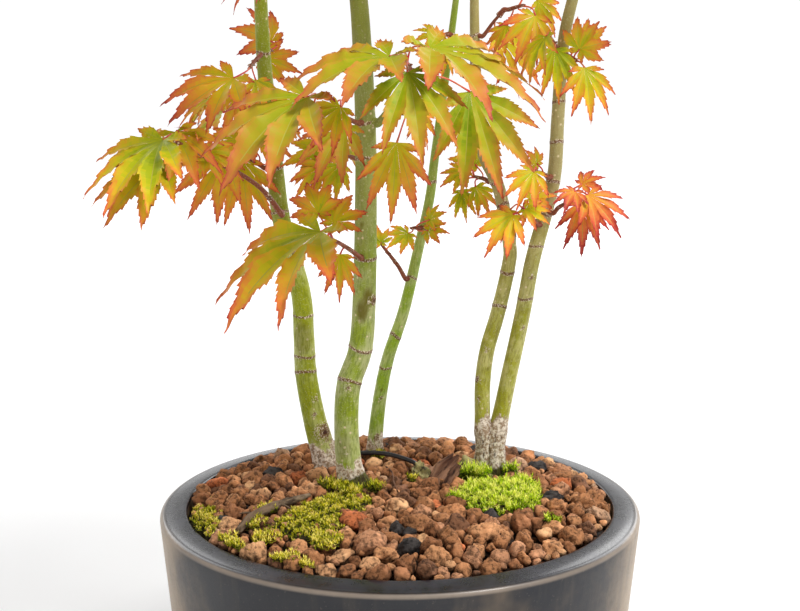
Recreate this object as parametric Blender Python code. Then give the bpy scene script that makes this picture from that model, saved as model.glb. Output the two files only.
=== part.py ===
# Maple bonsai: a clump of five slender stems in a round glazed pot.
# Metres, +Z up. The pot stands on z = 0 and is centred on x = y = 0.
# Tables of positions are in millimetres and are scaled by MM where they are used.

import math
import random

import bpy
from mathutils import Matrix, Vector
from mathutils.bvhtree import BVHTree

MM = 0.001

# Pot
POT_RADIUS = 0.115
POT_HEIGHT = 0.100
POT_TAPER_DEG = 5.0
RIM_WIDTH = 0.0130
RIM_ROUND = 0.0025
RIM_RISE = 0.0014
POT_FLOOR = 0.009
POT_SIDES = 60

# Ground in the pot
GAP = 0.0003
SOIL_LEVEL = 0.104
SOIL_FALL = 0.0045
SOIL_LEVEL_TO = 0.70
SOIL_DENT = 0.0012
SOIL_LUMP = 0.0038
SOIL_RINGS = 12
SOIL_SIDES = 42

# Leaves: shares of the middle lobe's length
LEAF_THICKNESS = 0.030
LEAF_ARCH = 0.085
LEAF_DROOP = 0.18
LEAF_FOLD = 0.42
BIG_LEAF = 0.022
LEAST_THICKNESS = 0.0007
STALK_RADIUS = 0.0005

# Twigs
TWIG_FROM = 0.0012
TWIG_TO = 0.0008
TWIG_SAG = 0.06
BUD_LENGTH = 0.0025
BUD_RADIUS = 0.00035

# How far a spray may reach from the middle of its twig, and what it keeps clear of
REACH = 0.110
LEAF_CLEAR = 0.0009
CLEAR_OF_LIMB = 0.0004


# Clean start

for old in list(bpy.data.objects):
    bpy.data.objects.remove(old, do_unlink=True)


# Colours of the parts

def material(name, colour, roughness, coat=0.0):
    made = bpy.data.materials.new(name)
    made.use_nodes = True
    shader = made.node_tree.nodes["Principled BSDF"]
    shader.inputs["Base Color"].default_value = (*colour, 1.0)
    shader.inputs["Roughness"].default_value = roughness
    shader.inputs["Coat Weight"].default_value = coat
    made.diffuse_color = (*colour, 1.0)
    return made


GLAZE = material("pot_glaze", (0.040, 0.045, 0.058), 0.28, 0.6)
GRIT = material("baked_clay_grit", (0.30, 0.13, 0.07), 0.90)
MOSS = material("moss", (0.22, 0.33, 0.03), 0.95)
GREEN_BARK = material("green_bark", (0.29, 0.34, 0.09), 0.55)
OLIVE_BARK = material("olive_bark", (0.33, 0.29, 0.11), 0.60)
CORK = material("grey_cork", (0.34, 0.27, 0.21), 0.90)
RED_BARK = material("red_young_bark", (0.22, 0.09, 0.05), 0.55)
OLD_WOOD = material("old_wood", (0.20, 0.12, 0.08), 0.90)
DARK_WIRE = material("dark_wire", (0.02, 0.02, 0.025), 0.45)
LEAF_COLOURS = (
    material("leaf_lime", (0.42, 0.45, 0.03), 0.50),
    material("leaf_amber", (0.60, 0.32, 0.04), 0.50),
    material("leaf_orange", (0.66, 0.20, 0.06), 0.50),
    material("leaf_red", (0.58, 0.10, 0.04), 0.50),
)


# Mesh helpers

def add_object(name, points, faces, finish, smooth=False):
    mesh = bpy.data.meshes.new(name)
    mesh.from_pydata([tuple(p) for p in points], [], faces)
    mesh.validate()
    mesh.update()
    made = bpy.data.objects.new(name, mesh)
    bpy.context.scene.collection.objects.link(made)
    mesh.materials.append(finish)
    mesh.polygons.foreach_set("use_smooth", [smooth] * len(mesh.polygons))
    return made


def turned(profile, sides):
    # a closed profile of (radius, height) turned about the z axis; end points at radius 0 are poles
    points = []
    faces = []
    rings = []
    for radius, height in profile:
        if radius < 1e-9:
            rings.append([len(points)])
            points.append(Vector((0, 0, height)))
            continue
        ring = []
        for k in range(sides):
            turn = 2 * math.pi * k / sides
            ring.append(len(points))
            points.append(Vector((radius * math.cos(turn), radius * math.sin(turn), height)))
        rings.append(ring)
    for low, high in zip(rings, rings[1:]):
        for k in range(sides):
            n = (k + 1) % sides
            if len(low) == 1:
                faces.append((low[0], high[n], high[k]))
            elif len(high) == 1:
                faces.append((low[k], low[n], high[0]))
            else:
                faces.append((low[k], low[n], high[n], high[k]))
    return points, faces


def tube(rows, sides, start_normal=None, flutes=0, flute_depth=0.0, flute_run=0.016, oval=1.0):
    # a limb of round section through rows of (centre, radius), closed by a flat cap at each end
    centres = [row[0] for row in rows]
    points = []
    faces = []
    side = None
    for i, (centre, radius) in enumerate(rows):
        before = centres[max(i - 1, 0)]
        after = centres[min(i + 1, len(rows) - 1)]
        ahead = (after - before).normalized()
        if i == 0 and start_normal is not None:
            ahead = start_normal.normalized()
        if side is None:
            side = ahead.cross(Vector((0.31, 0.95, 0.02))).normalized()
        side = (side - ahead * side.dot(ahead)).normalized()
        up = ahead.cross(side)
        fade = max(0.0, 1.0 - (centre - centres[0]).length / flute_run)
        for k in range(sides):
            turn = 2 * math.pi * k / sides
            swell = 1.0 + flute_depth * fade * math.cos(flutes * turn + 0.7)
            reach = radius * swell
            points.append(centre + side * (math.cos(turn) * reach) + up * (math.sin(turn) * reach * oval))
    last = (len(rows) - 1) * sides
    for i in range(len(rows) - 1):
        for k in range(sides):
            n = (k + 1) % sides
            a = i * sides
            faces.append((a + k, a + n, a + sides + n, a + sides + k))
    faces.append(tuple(range(sides - 1, -1, -1)))
    faces.append(tuple(last + k for k in range(sides)))
    return points, faces


def tree_of(points, faces):
    return BVHTree.FromPolygons([tuple(p) for p in points], faces, all_triangles=False)


def object_tree(part):
    mesh = part.data
    return tree_of([v.co for v in mesh.vertices], [tuple(p.vertices) for p in mesh.polygons])


# Everything that is already in place, so that later parts keep clear of it
IN_PLACE = {}


def keep(part):
    IN_PLACE[part.name] = object_tree(part)
    return part


def is_clear(points, faces, room, leave_out=()):
    own = tree_of(points, faces)
    samples = list(points)
    for face in faces:
        samples.append(sum((points[i] for i in face), Vector()) / len(face))
        for a, b in zip(face, face[1:]):
            samples.append((points[a] + points[b]) / 2)
    for name, tree in IN_PLACE.items():
        if name in leave_out:
            continue
        near = tree.find_nearest(points[0], REACH)
        if near[0] is None:
            continue
        if own.overlap(tree):
            return False
        for sample in samples:
            if tree.find_nearest(sample, room)[0] is not None:
                return False
    return True


def millimetres(point):
    return Vector(point) * MM


# Pot: a turned drum whose rim rises inward from a rounded outer edge to a crisp lip

def pot_profile():
    slope = math.tan(math.radians(POT_TAPER_DEG))
    foot = POT_RADIUS - POT_HEIGHT * slope
    inner = POT_RADIUS - RIM_WIDTH
    profile = [(0.0, 0.0), (foot - 0.003, 0.0), (foot - 0.0008, 0.0009), (foot, 0.003)]
    for k in range(5):
        turn = math.radians(90 * k / 4)
        radius = POT_RADIUS - RIM_ROUND * (1 - math.cos(turn))
        height = POT_HEIGHT - RIM_ROUND * (1 - math.sin(turn))
        profile.append((radius, height))
    profile.append((POT_RADIUS - RIM_WIDTH * 0.60, POT_HEIGHT + RIM_RISE * 0.62))
    profile.append((inner + 0.0014, POT_HEIGHT + RIM_RISE))
    profile.append((inner + 0.0003, POT_HEIGHT + RIM_RISE - 0.0005))
    profile.append((inner, POT_HEIGHT + RIM_RISE - 0.0020))
    profile.append((inner, POT_HEIGHT - 0.012))
    profile.append((foot - 0.012, POT_FLOOR + 0.004))
    profile.append((foot - 0.016, POT_FLOOR))
    profile.append((0.0, POT_FLOOR))
    return profile


def inner_radius(height):
    # radius of the inside wall of the pot at a height
    slope = math.tan(math.radians(POT_TAPER_DEG))
    foot = POT_RADIUS - POT_HEIGHT * slope
    top = POT_RADIUS - RIM_WIDTH
    low = POT_FLOOR + 0.004
    share = min(max((height - low) / (POT_HEIGHT - 0.012 - low), 0.0), 1.0)
    return (foot - 0.012) * (1 - share) + top * share


points, faces = turned(pot_profile(), POT_SIDES)
keep(add_object("pot", points, faces, GLAZE, smooth=True))


# Stems. Each rises through a few bends given in millimetres from the ground up; the radii say
# how thick it is at the ground, above the root flare and at its tip, and the nodes are the
# heights at which old leaf scars ring it. Stems d and e stand on a foot that they share.

GROUND = (SOIL_LEVEL + GAP) / MM
FORK = 134.3
FLARE_RUN = 0.007
NODE_SWELL = 1.10
STEM_STEP = 0.021

STEMS = (
    # name; radius at the ground, above the flare and at the tip; how late it tapers; bends; nodes
    ("stem_a", 8.6, 6.0, 1.3, 1.05,
     ((-37, 45, GROUND), (-38.5, 45, 111), (-43, 46, 127), (-47.5, 47.5, 152), (-48.5, 49, 172),
      (-50, 50, 195), (-59, 52, 230), (-62, 53, 256), (-66, 56, 296), (-68, 58, 338),
      (-68, 62, 398), (-67, 65, 445), (-72, 70, 492)),
     (162, 182, 235, 257, 313)),
    ("stem_b", 8.8, 6.0, 1.4, 1.5,
     ((-22, 10, GROUND), (-25, 9, 118), (-26, 9, 140), (-24.5, 8, 158), (-19, 8, 175),
      (-17, 7, 200), (-16, 5, 245), (-16, 4, 282), (-18, 2, 330), (-22, -1, 380),
      (-18, -5, 430), (-10, -5, 490), (-14, 0, 540)),
     (163, 176, 220, 267, 284)),
    ("stem_c", 5.2, 3.9, 1.1, 0.8,
     ((-13, 62, GROUND), (-12.5, 62.5, 118), (-10, 65, 138), (-6, 66, 157), (2, 68, 181),
      (9, 70, 211), (15, 72, 238), (18, 74, 262), (26, 78, 322), (31, 82, 362), (36, 86, 404)),
     (151, 167, 197, 224, 248)),
    ("stem_d", 3.9, 3.9, 1.1, 1.3,
     ((41, 30, FORK), (41, 31, 152), (43, 31, 169), (48, 32, 187), (53, 33, 210),
      (53.5, 34, 222), (48, 35, 249), (40, 36, 267), (37, 37, 295), (35.5, 39, 335),
      (36, 43, 380), (28, 50, 432)),
     (191, 207, 226, 312)),
    ("stem_e", 4.3, 4.0, 1.1, 1.5,
     ((49.8, 30, FORK), (54, 29, 157), (60, 28, 188), (64, 27, 213), (70, 26, 238),
      (74, 25, 258), (75, 24, 285), (77, 22, 322), (85, 20, 360), (92, 19, 408), (91, 24, 474)),
     (197, 222, 238, 254, 273, 314)),
)
FOOT_AT = (45.2, 30)
FOOT_RADII = (7.8, 6.3, 8.2)
FOOT_OVAL = 0.78

AXES = {}


def smooth_line(bends, step):
    # a curve through the bends, cut at about even steps
    ends = [bends[0] * 2 - bends[1]] + list(bends) + [bends[-1] * 2 - bends[-2]]
    line = []
    for p, q, r, s in zip(ends, ends[1:], ends[2:], ends[3:]):
        cuts = max(1, round((r - q).length / step))
        for k in range(cuts):
            t = k / cuts
            square = 2 * p - 5 * q + 4 * r - s
            cube = 3 * q - p - 3 * r + s
            line.append(0.5 * (2 * q + (r - p) * t + square * t * t + cube * t ** 3))
    line.append(bends[-1].copy())
    return line


def cut_at(line, level):
    # puts a cut of the line at a level, in place of one that is near to it
    for i in range(len(line) - 1):
        below = line[i]
        above = line[i + 1]
        if below.z < level <= above.z:
            spot = below.lerp(above, (level - below.z) / (above.z - below.z))
            if i > 0 and level - below.z < STEM_STEP * 0.3:
                line[i] = spot
            elif i + 1 < len(line) - 1 and above.z - level < STEM_STEP * 0.3:
                line[i + 1] = spot
            else:
                line.insert(i + 1, spot)
            return


def stem_rows(ground, low, tip, late, bends, nodes):
    line = smooth_line([millimetres(b) for b in bends], STEM_STEP)
    for height in nodes:
        cut_at(line, height * MM)
    rise = line[-1].z - line[0].z
    rows = []
    for spot in line:
        share = (spot.z - line[0].z) / rise
        radius = tip + (low - tip) * (1 - share ** late)
        radius += (ground - low) * math.exp(-(spot.z - line[0].z) / FLARE_RUN)
        if any(abs(spot.z - n * MM) < 0.0005 for n in nodes):
            radius *= NODE_SWELL
        rows.append((spot, radius * MM))
    return rows


def axis_at(limb, at):
    # centre and radius of a limb at a height in millimetres, or at a share of its length up to 1
    rows = AXES[limb]
    if at <= 1:
        return along_path(rows, at), rows[-1][1] if at == 1 else rows[len(rows) // 2][1]
    for (low, low_radius), (high, high_radius) in zip(rows, rows[1:]):
        if low.z <= at * MM <= high.z:
            share = (at * MM - low.z) / (high.z - low.z)
            return low.lerp(high, share), low_radius * (1 - share) + high_radius * share
    return rows[-1]


def along_path(rows, share):
    spans = [(b[0] - a[0]).length for a, b in zip(rows, rows[1:])]
    want = share * sum(spans)
    for (a, _), (b, _), span in zip(rows, rows[1:], spans):
        if want <= span:
            return a.lerp(b, want / span)
        want -= span
    return rows[-1][0].copy()


def limb_rows(table):
    return [(millimetres(row[:3]), row[3] * MM) for row in table]


for name, ground, low, tip, late, bends, nodes in STEMS:
    rows = stem_rows(ground, low, tip, late, bends, nodes)
    AXES[name] = rows
    on_foot = name in ("stem_d", "stem_e")
    depth = 0.0 if on_foot else 0.14
    points, faces = tube(rows, 8, start_normal=Vector((0, 0, 1)), flutes=5, flute_depth=depth)
    keep(add_object(name, points, faces, OLIVE_BARK if on_foot else GREEN_BARK, smooth=True))


def clump_foot():
    # the short corky foot that stems d and e share
    ground, waist, top = FOOT_RADII
    rows = []
    for k in range(6):
        share = k / 5
        radius = waist + (ground - waist) * max(0.0, 1 - share * 3)
        radius += (top - waist) * max(0.0, (share - 0.4) / 0.6)
        height = GROUND + (FORK - GAP / MM - GROUND) * share
        rows.append((millimetres((*FOOT_AT, height)), radius * MM))
    points, faces = tube(rows, 12, start_normal=Vector((0, 0, 1)), flutes=5, flute_depth=0.12, oval=FOOT_OVAL)
    return add_object("clump_foot", points, faces, CORK, smooth=True)


keep(clump_foot())


# Soil: a lumpy disc of grit filling the pot, level where something stands on it

LEVEL_PADS = (
    # x, y, radius in millimetres
    (-37, 45, 17), (-22, 10, 17), (-13, 62, 14), (45, 30, 19),
    (-38, -34, 42), (50, -8, 34), (-88, -28, 31), (20, 26, 20),
    (-24, 50, 10), (-12, 49, 10), (4, 42, 10), (-70, -46, 12), (-60, -20, 14), (-47, -2, 12), (-14, -8, 11),
)


def mound(x, y):
    share = math.hypot(x, y) / (POT_RADIUS - RIM_WIDTH)
    fall = min(max((share - SOIL_LEVEL_TO) / (1 - SOIL_LEVEL_TO), 0.0), 1.0)
    fall = fall * fall * (3 - 2 * fall)
    return SOIL_LEVEL - SOIL_FALL * fall


def soil_height(x, y, rng):
    # lumps of grit stand above the mound, with dents between them
    bump = rng.choice((1, 1, -1)) * rng.uniform(0.45, 1.0)
    bump *= SOIL_LUMP if bump > 0 else SOIL_DENT
    level = mound(x, y)
    under = []
    for px, py, radius in LEVEL_PADS:
        if math.hypot(x / MM - px, y / MM - py) < radius:
            under.append(min(level, mound(px * MM, py * MM)))
    return min(under) if under else level + bump


def make_soil():
    rng = random.Random(11)
    top = POT_RADIUS - RIM_WIDTH - GAP
    points = [Vector((0, 0, SOIL_LEVEL + SOIL_LUMP))]
    faces = []
    rings = []
    for i in range(1, SOIL_RINGS + 1):
        radius = top * i / SOIL_RINGS
        ring = []
        for k in range(SOIL_SIDES):
            turn = 2 * math.pi * (k + 0.5 * (i % 2)) / SOIL_SIDES
            x = radius * math.cos(turn)
            y = radius * math.sin(turn)
            ring.append(len(points))
            height = mound(x, y) if i == SOIL_RINGS else soil_height(x, y, rng)
            points.append(Vector((x, y, height)))
        rings.append(ring)
    # the side of the fill follows the inside wall down to the floor
    for height in (POT_HEIGHT - 0.012, POT_FLOOR + 0.004 + GAP, POT_FLOOR + GAP):
        radius = inner_radius(height) - GAP
        if height < POT_FLOOR + 0.001:
            radius -= 0.0055
        ring = []
        for k in range(SOIL_SIDES):
            turn = 2 * math.pi * (k + 0.5 * (SOIL_RINGS % 2)) / SOIL_SIDES
            ring.append(len(points))
            points.append(Vector((radius * math.cos(turn), radius * math.sin(turn), height)))
        rings.append(ring)
    for k in range(SOIL_SIDES):
        faces.append((0, rings[0][k], rings[0][(k + 1) % SOIL_SIDES]))
    for i, (a, b) in enumerate(zip(rings, rings[1:])):
        straight = i >= SOIL_RINGS - 1
        stepped = (i + 1) % 2
        for k in range(SOIL_SIDES):
            n = (k + 1) % SOIL_SIDES
            if straight:
                faces.append((a[k], b[k], b[n], a[n]))
            elif stepped:
                faces.append((a[k], b[k], b[n]))
                faces.append((a[k], b[n], a[n]))
            else:
                faces.append((a[k], b[k], a[n]))
                faces.append((a[n], b[k], b[n]))
    faces.append(tuple(reversed(rings[-1])))
    return add_object("soil", points, faces, GRIT)


soil = keep(make_soil())


def rest_on_soil(points, room=GAP):
    # lowers or lifts a loose piece until it is just clear of the grit
    tree = IN_PLACE["soil"]
    least = 1.0
    for p in points:
        hit = tree.ray_cast(Vector((p.x, p.y, 0.5)), Vector((0, 0, -1)))[0]
        if hit is not None:
            least = min(least, p.z - hit.z)
    for p in points:
        p.z += room - least
    return points


# Moss: low cushions with a flat underside

MOSS_CUSHIONS = (
    # name, outline in millimetres, height in millimetres
    ("moss_front", ((-58, -50), (-50, -64), (-36, -67), (-27, -53), (-19, -30), (-13, -8), (-19, -1.5),
                    (-31, -2), (-41, -12), (-51, -28)), 3.6),
    ("moss_right", ((27, -3), (35, -27), (49, -33), (62, -27), (68, -7), (67, 11), (60, 21),
                    (52, 13), (40, 13), (31, 9)), 5.0),
    ("moss_left", ((-99, -8), (-96, -26), (-87, -49), (-81, -42), (-85, -26), (-91, -10)), 3.0),
)


def moss_cushion(name, outline, height, seed):
    rng = random.Random(seed)
    count = len(outline)
    centre = Vector((sum(p[0] for p in outline) / count, sum(p[1] for p in outline) / count, 0)) * MM
    base = min(mound(centre.x, centre.y), SOIL_LEVEL) + GAP
    rim = []
    for i, (x, y) in enumerate(outline):
        nx, ny = outline[(i + 1) % count]
        rim.append(Vector((x, y, 0)) * MM)
        rim.append(Vector(((x + nx) / 2, (y + ny) / 2, 0)) * MM)
    points = []
    faces = []
    around = len(rim)
    for share, lift in ((1.0, 0.0), (0.97, 0.35), (0.80, 0.75), (0.48, 1.0)):
        for p in rim:
            spot = centre.lerp(p, share)
            rise = lift * height * MM * (1 + 0.35 * (rng.random() - 0.5) * (lift > 0.4))
            points.append(Vector((spot.x, spot.y, base + rise)))
    top = len(points)
    points.append(Vector((centre.x, centre.y, base + height * MM * 0.95)))
    for i in range(3):
        for k in range(around):
            n = (k + 1) % around
            a = i * around
            faces.append((a + k, a + n, a + around + n))
            faces.append((a + k, a + around + n, a + around + k))
    for k in range(around):
        faces.append((3 * around + k, 3 * around + (k + 1) % around, top))
    faces.append(tuple(range(around - 1, -1, -1)))
    rest_on_soil(points)
    return add_object(name, points, faces, MOSS)


for number, (name, outline, height) in enumerate(MOSS_CUSHIONS):
    keep(moss_cushion(name, outline, height, 30 + number))


# Loose things lying on the grit: a surface root, a lump of old wood, the end of a tie wire

ROOT_LINE = ((-73, -50, 1.0), (-68, -38, 1.5), (-62, -24, 1.5), (-56, -13, 1.4), (-47.5, -3, 1.1))
OLD_WOOD_LINE = ((8.5, 24.5, 4, 3.2), (13, 25, 5, 4.6), (19, 26.5, 5.6, 5.2), (25, 29, 5, 4.2),
                 (29, 31, 4, 2.4))
WIRE_LINE = ((-25.5, 51.5, 0.2), (-25, 51, 2.4), (-22, 50.5, 4.0), (-12, 50, 4.6), (-3, 46.5, 4.2),
             (6, 41, 2.8), (8.4, 39.6, 1.2), (8.8, 39.3, 0.2))


def surface_root():
    rows = []
    for x, y, radius in ROOT_LINE:
        spot = Vector((x, y, 0)) * MM
        spot.z = mound(spot.x, spot.y) + GAP + radius * MM
        rows.append((spot, radius * MM))
    points, faces = tube(rows, 7)
    return add_object("surface_root", rest_on_soil(points), faces, CORK, smooth=True)


def old_wood():
    rng = random.Random(5)
    rows = []
    for x, y, height, radius in OLD_WOOD_LINE:
        rows.append((Vector((x * MM, y * MM, SOIL_LEVEL + height * MM)), radius * MM))
    points, faces = tube(rows, 8, oval=0.8)
    for p in points:
        p.x += (rng.random() - 0.5) * 0.0012
        p.z += (rng.random() - 0.5) * 0.0022
    return add_object("old_wood", rest_on_soil(points), faces, OLD_WOOD)


def tie_wire():
    radius = 1.15
    rows = []
    for x, y, height in WIRE_LINE:
        rows.append((Vector((x * MM, y * MM, SOIL_LEVEL + height * MM)), radius * MM))
    points, faces = tube(rows, 8, start_normal=Vector((0, 0, 1)))
    return add_object("tie_wire", rest_on_soil(points), faces, DARK_WIRE, smooth=True)


keep(surface_root())
keep(old_wood())
keep(tie_wire())


# Boughs: side limbs that carry foliage at their ends

BOUGHS = (
    # name, stem it grows from, rows of x, y, z and radius in millimetres
    ("bough_a_left", "stem_a", ((-59, 46, 235, 2.4), (-67, 36, 248, 1.8), (-78, 25, 258, 1.6),
                                (-86, 16, 263, 1.4))),
    ("bough_b_front", "stem_b", ((-10, 0, 284, 2.2), (-5, -6, 290, 1.9), (0, -12, 296, 1.8),
                                 (4, -23, 302, 1.5), (6, -33, 307, 1.3))),
    ("bough_d_right", "stem_d", ((39, 36, 322, 1.6), (44, 34, 328, 1.2), (48, 31, 333, 1.1))),
    ("bough_a_upper", "stem_a", ((-74, 57, 384, 2.0), (-86, 50, 396, 1.6), (-100, 40, 408, 1.2))),
    ("bough_b_upper_left", "stem_b", ((-27, -2, 424, 2.2), (-42, 4, 440, 1.7), (-56, 8, 455, 1.3))),
    ("bough_b_upper_right", "stem_b", ((-8, -8, 452, 2.0), (8, -16, 466, 1.6), (24, -22, 478, 1.2))),
    ("bough_e_upper", "stem_e", ((93, 17, 388, 1.6), (106, 10, 400, 1.3), (118, 2, 412, 1.1))),
)


def nearest_on(host, spot):
    place, normal, _, _ = IN_PLACE[host].find_nearest(spot)
    return place, normal


def seated_rows(host, rows, run=0.0022):
    # the first row is moved to stand just clear of the host, square to its surface
    place, normal = nearest_on(host, rows[0][0])
    radius = rows[0][1]
    stand = 0.0
    for _ in range(12):
        root = place + normal * (CLEAR_OF_LIMB + stand)
        second = place + normal * (CLEAR_OF_LIMB + stand + run)
        side = normal.orthogonal().normalized()
        other = normal.cross(side)
        worst = 1.0
        for k in range(12):
            turn = 2 * math.pi * k / 12
            edge = root + (side * math.cos(turn) + other * math.sin(turn)) * radius
            worst = min(worst, IN_PLACE[host].find_nearest(edge)[3])
        if worst >= GAP + 0.00005:
            break
        stand += 0.00012
    rest = [row for row in rows[1:] if (row[0] - second).length > run]
    return [(root, radius), (second, radius * 0.97)] + rest, normal


for name, host, table in BOUGHS:
    rows, normal = seated_rows(host, limb_rows(table))
    points, faces = tube(rows, 8, start_normal=normal)
    AXES[name] = rows
    young = name in ("bough_a_left", "bough_d_right")
    keep(add_object(name, points, faces, RED_BARK if young else GREEN_BARK, smooth=True))


# Leaves
# Half outline of a seven-lobed blade: angle from the middle lobe in degrees, share of its length.
WIDE_HALF = ((12, 0.62), (18, 0.38), (24, 0.60), (37, 0.92), (54, 0.36), (76, 0.71), (102, 0.22), (128, 0.34))
NARROW_HALF = ((18, 0.36), (37, 0.91), (55, 0.33), (76, 0.69), (102, 0.21), (128, 0.33))
BACK_ANGLE = 163
BACK_SHARE = 0.055


def blade_frame(foot, tip, face_heading, face_rise):
    along = (tip - foot).normalized()
    heading = math.radians(face_heading)
    rise = math.radians(face_rise)
    up = Vector((math.cos(heading) * math.cos(rise), math.sin(heading) * math.cos(rise), math.sin(rise)))
    up = up - along * up.dot(along)
    if up.length < 0.05:
        up = along.orthogonal()
    up.normalize()
    return along, up.cross(along), up


def spread_of(along):
    # lobes of a hanging blade fold together like a half-shut fan
    return 1.0 - LEAF_FOLD * max(0.0, -along.z)


def stalk_ring(centre, ahead, hint, radius):
    # three corners of a stalk, in the order that matches the opening under the blade
    first = hint - ahead * hint.dot(ahead)
    if first.length < 0.1:
        first = ahead.orthogonal()
    first.normalize()
    second = ahead.cross(first)
    corners = []
    for degrees in (210, 330, 90):
        turn = math.radians(degrees)
        corners.append(centre + first * (math.cos(turn) * radius) + second * (math.sin(turn) * radius))
    return corners, first


def leaf_solid(start, foot, tip, face_heading, face_rise):
    # blade and stalk as one closed skin; the blade's faces come first
    length = (tip - foot).length
    along, across, up = blade_frame(foot, tip, face_heading, face_rise)
    fold = spread_of(along)
    half = list(WIDE_HALF if length > BIG_LEAF else NARROW_HALF)
    polar = [(0, 1.0)] + half + [(BACK_ANGLE, BACK_SHARE), (-BACK_ANGLE, BACK_SHARE)]
    polar += [(-angle, share) for angle, share in reversed(half)]
    points = []
    for angle, share in polar:
        turn = math.radians(angle) * (fold if abs(angle) < 150 else 1.0)
        lift = LEAF_ARCH * 4 * share * (1 - share) - LEAF_DROOP * (share * math.sin(turn)) ** 2
        spot = foot + (along * math.cos(turn) + across * math.sin(turn)) * (share * length)
        points.append(spot + up * (lift * length))
    count = len(points)
    thick = max(LEAF_THICKNESS * length, LEAST_THICKNESS)
    heart = foot + along * (0.10 * length) + up * (0.02 * length)
    points.append(heart + up * (thick / 2))
    points.append(heart - up * (thick / 2))
    back = 1 + len(half)
    away = (start - foot).length
    bend = foot.lerp(start, 0.42) - along * min(0.30 * away, 0.004)
    bend.z += -0.0008 if foot.z < start.z else 0.0010
    from_above = (bend - foot).dot(up) > 0
    faces = []
    for k in range(count):
        n = (k + 1) % count
        if k != back or not from_above:
            faces.append((k, n, count))
        if k != back or from_above:
            faces.append((n, k, count + 1))
    blade_faces = len(faces)
    # the stalk springs from a three-cornered opening at the back of the blade
    ring = [back, back + 1, count] if from_above else [back + 1, back, count + 1]
    hint = -across if from_above else across
    for centre, toward in ((bend, bend - foot), (start, start - bend)):
        corners, hint = stalk_ring(centre, toward.normalized(), hint, STALK_RADIUS)
        fresh = [len(points) + i for i in range(3)]
        points += corners
        for i in range(3):
            n = (i + 1) % 3
            faces.append((ring[i], ring[n], fresh[n], fresh[i]))
        ring = fresh
    faces.append(tuple(ring))
    return points, faces, blade_faces


# Small turns tried in order, in degrees of lift and swing, when a blade would touch something
TRIES = ((0, 0), (0, 9), (0, -9), (9, 0), (-9, 0), (14, 14), (14, -14), (-14, 14), (-14, -14), (24, 0),
         (-24, 0))


def turned_tip(foot, tip, lift, swing):
    reach = tip - foot
    side = Vector((-reach.y, reach.x, 0))
    if side.length < 1e-6:
        side = Vector((1, 0, 0))
    raised = Matrix.Rotation(-math.radians(lift), 3, side.normalized()) @ reach
    return foot + Matrix.Rotation(math.radians(swing), 3, "Z") @ raised


# Sprays: a twig with its leaves. Each spray: name, the limb it grows from, where on it (a height
# in millimetres, or a share of the limb's length up to 1), heading, rise and length of the twig.
# Each leaf: share of the way along the twig; length, heading and rise of its stalk; length,
# heading and rise of its blade; heading and rise of the blade's upper face.

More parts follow.
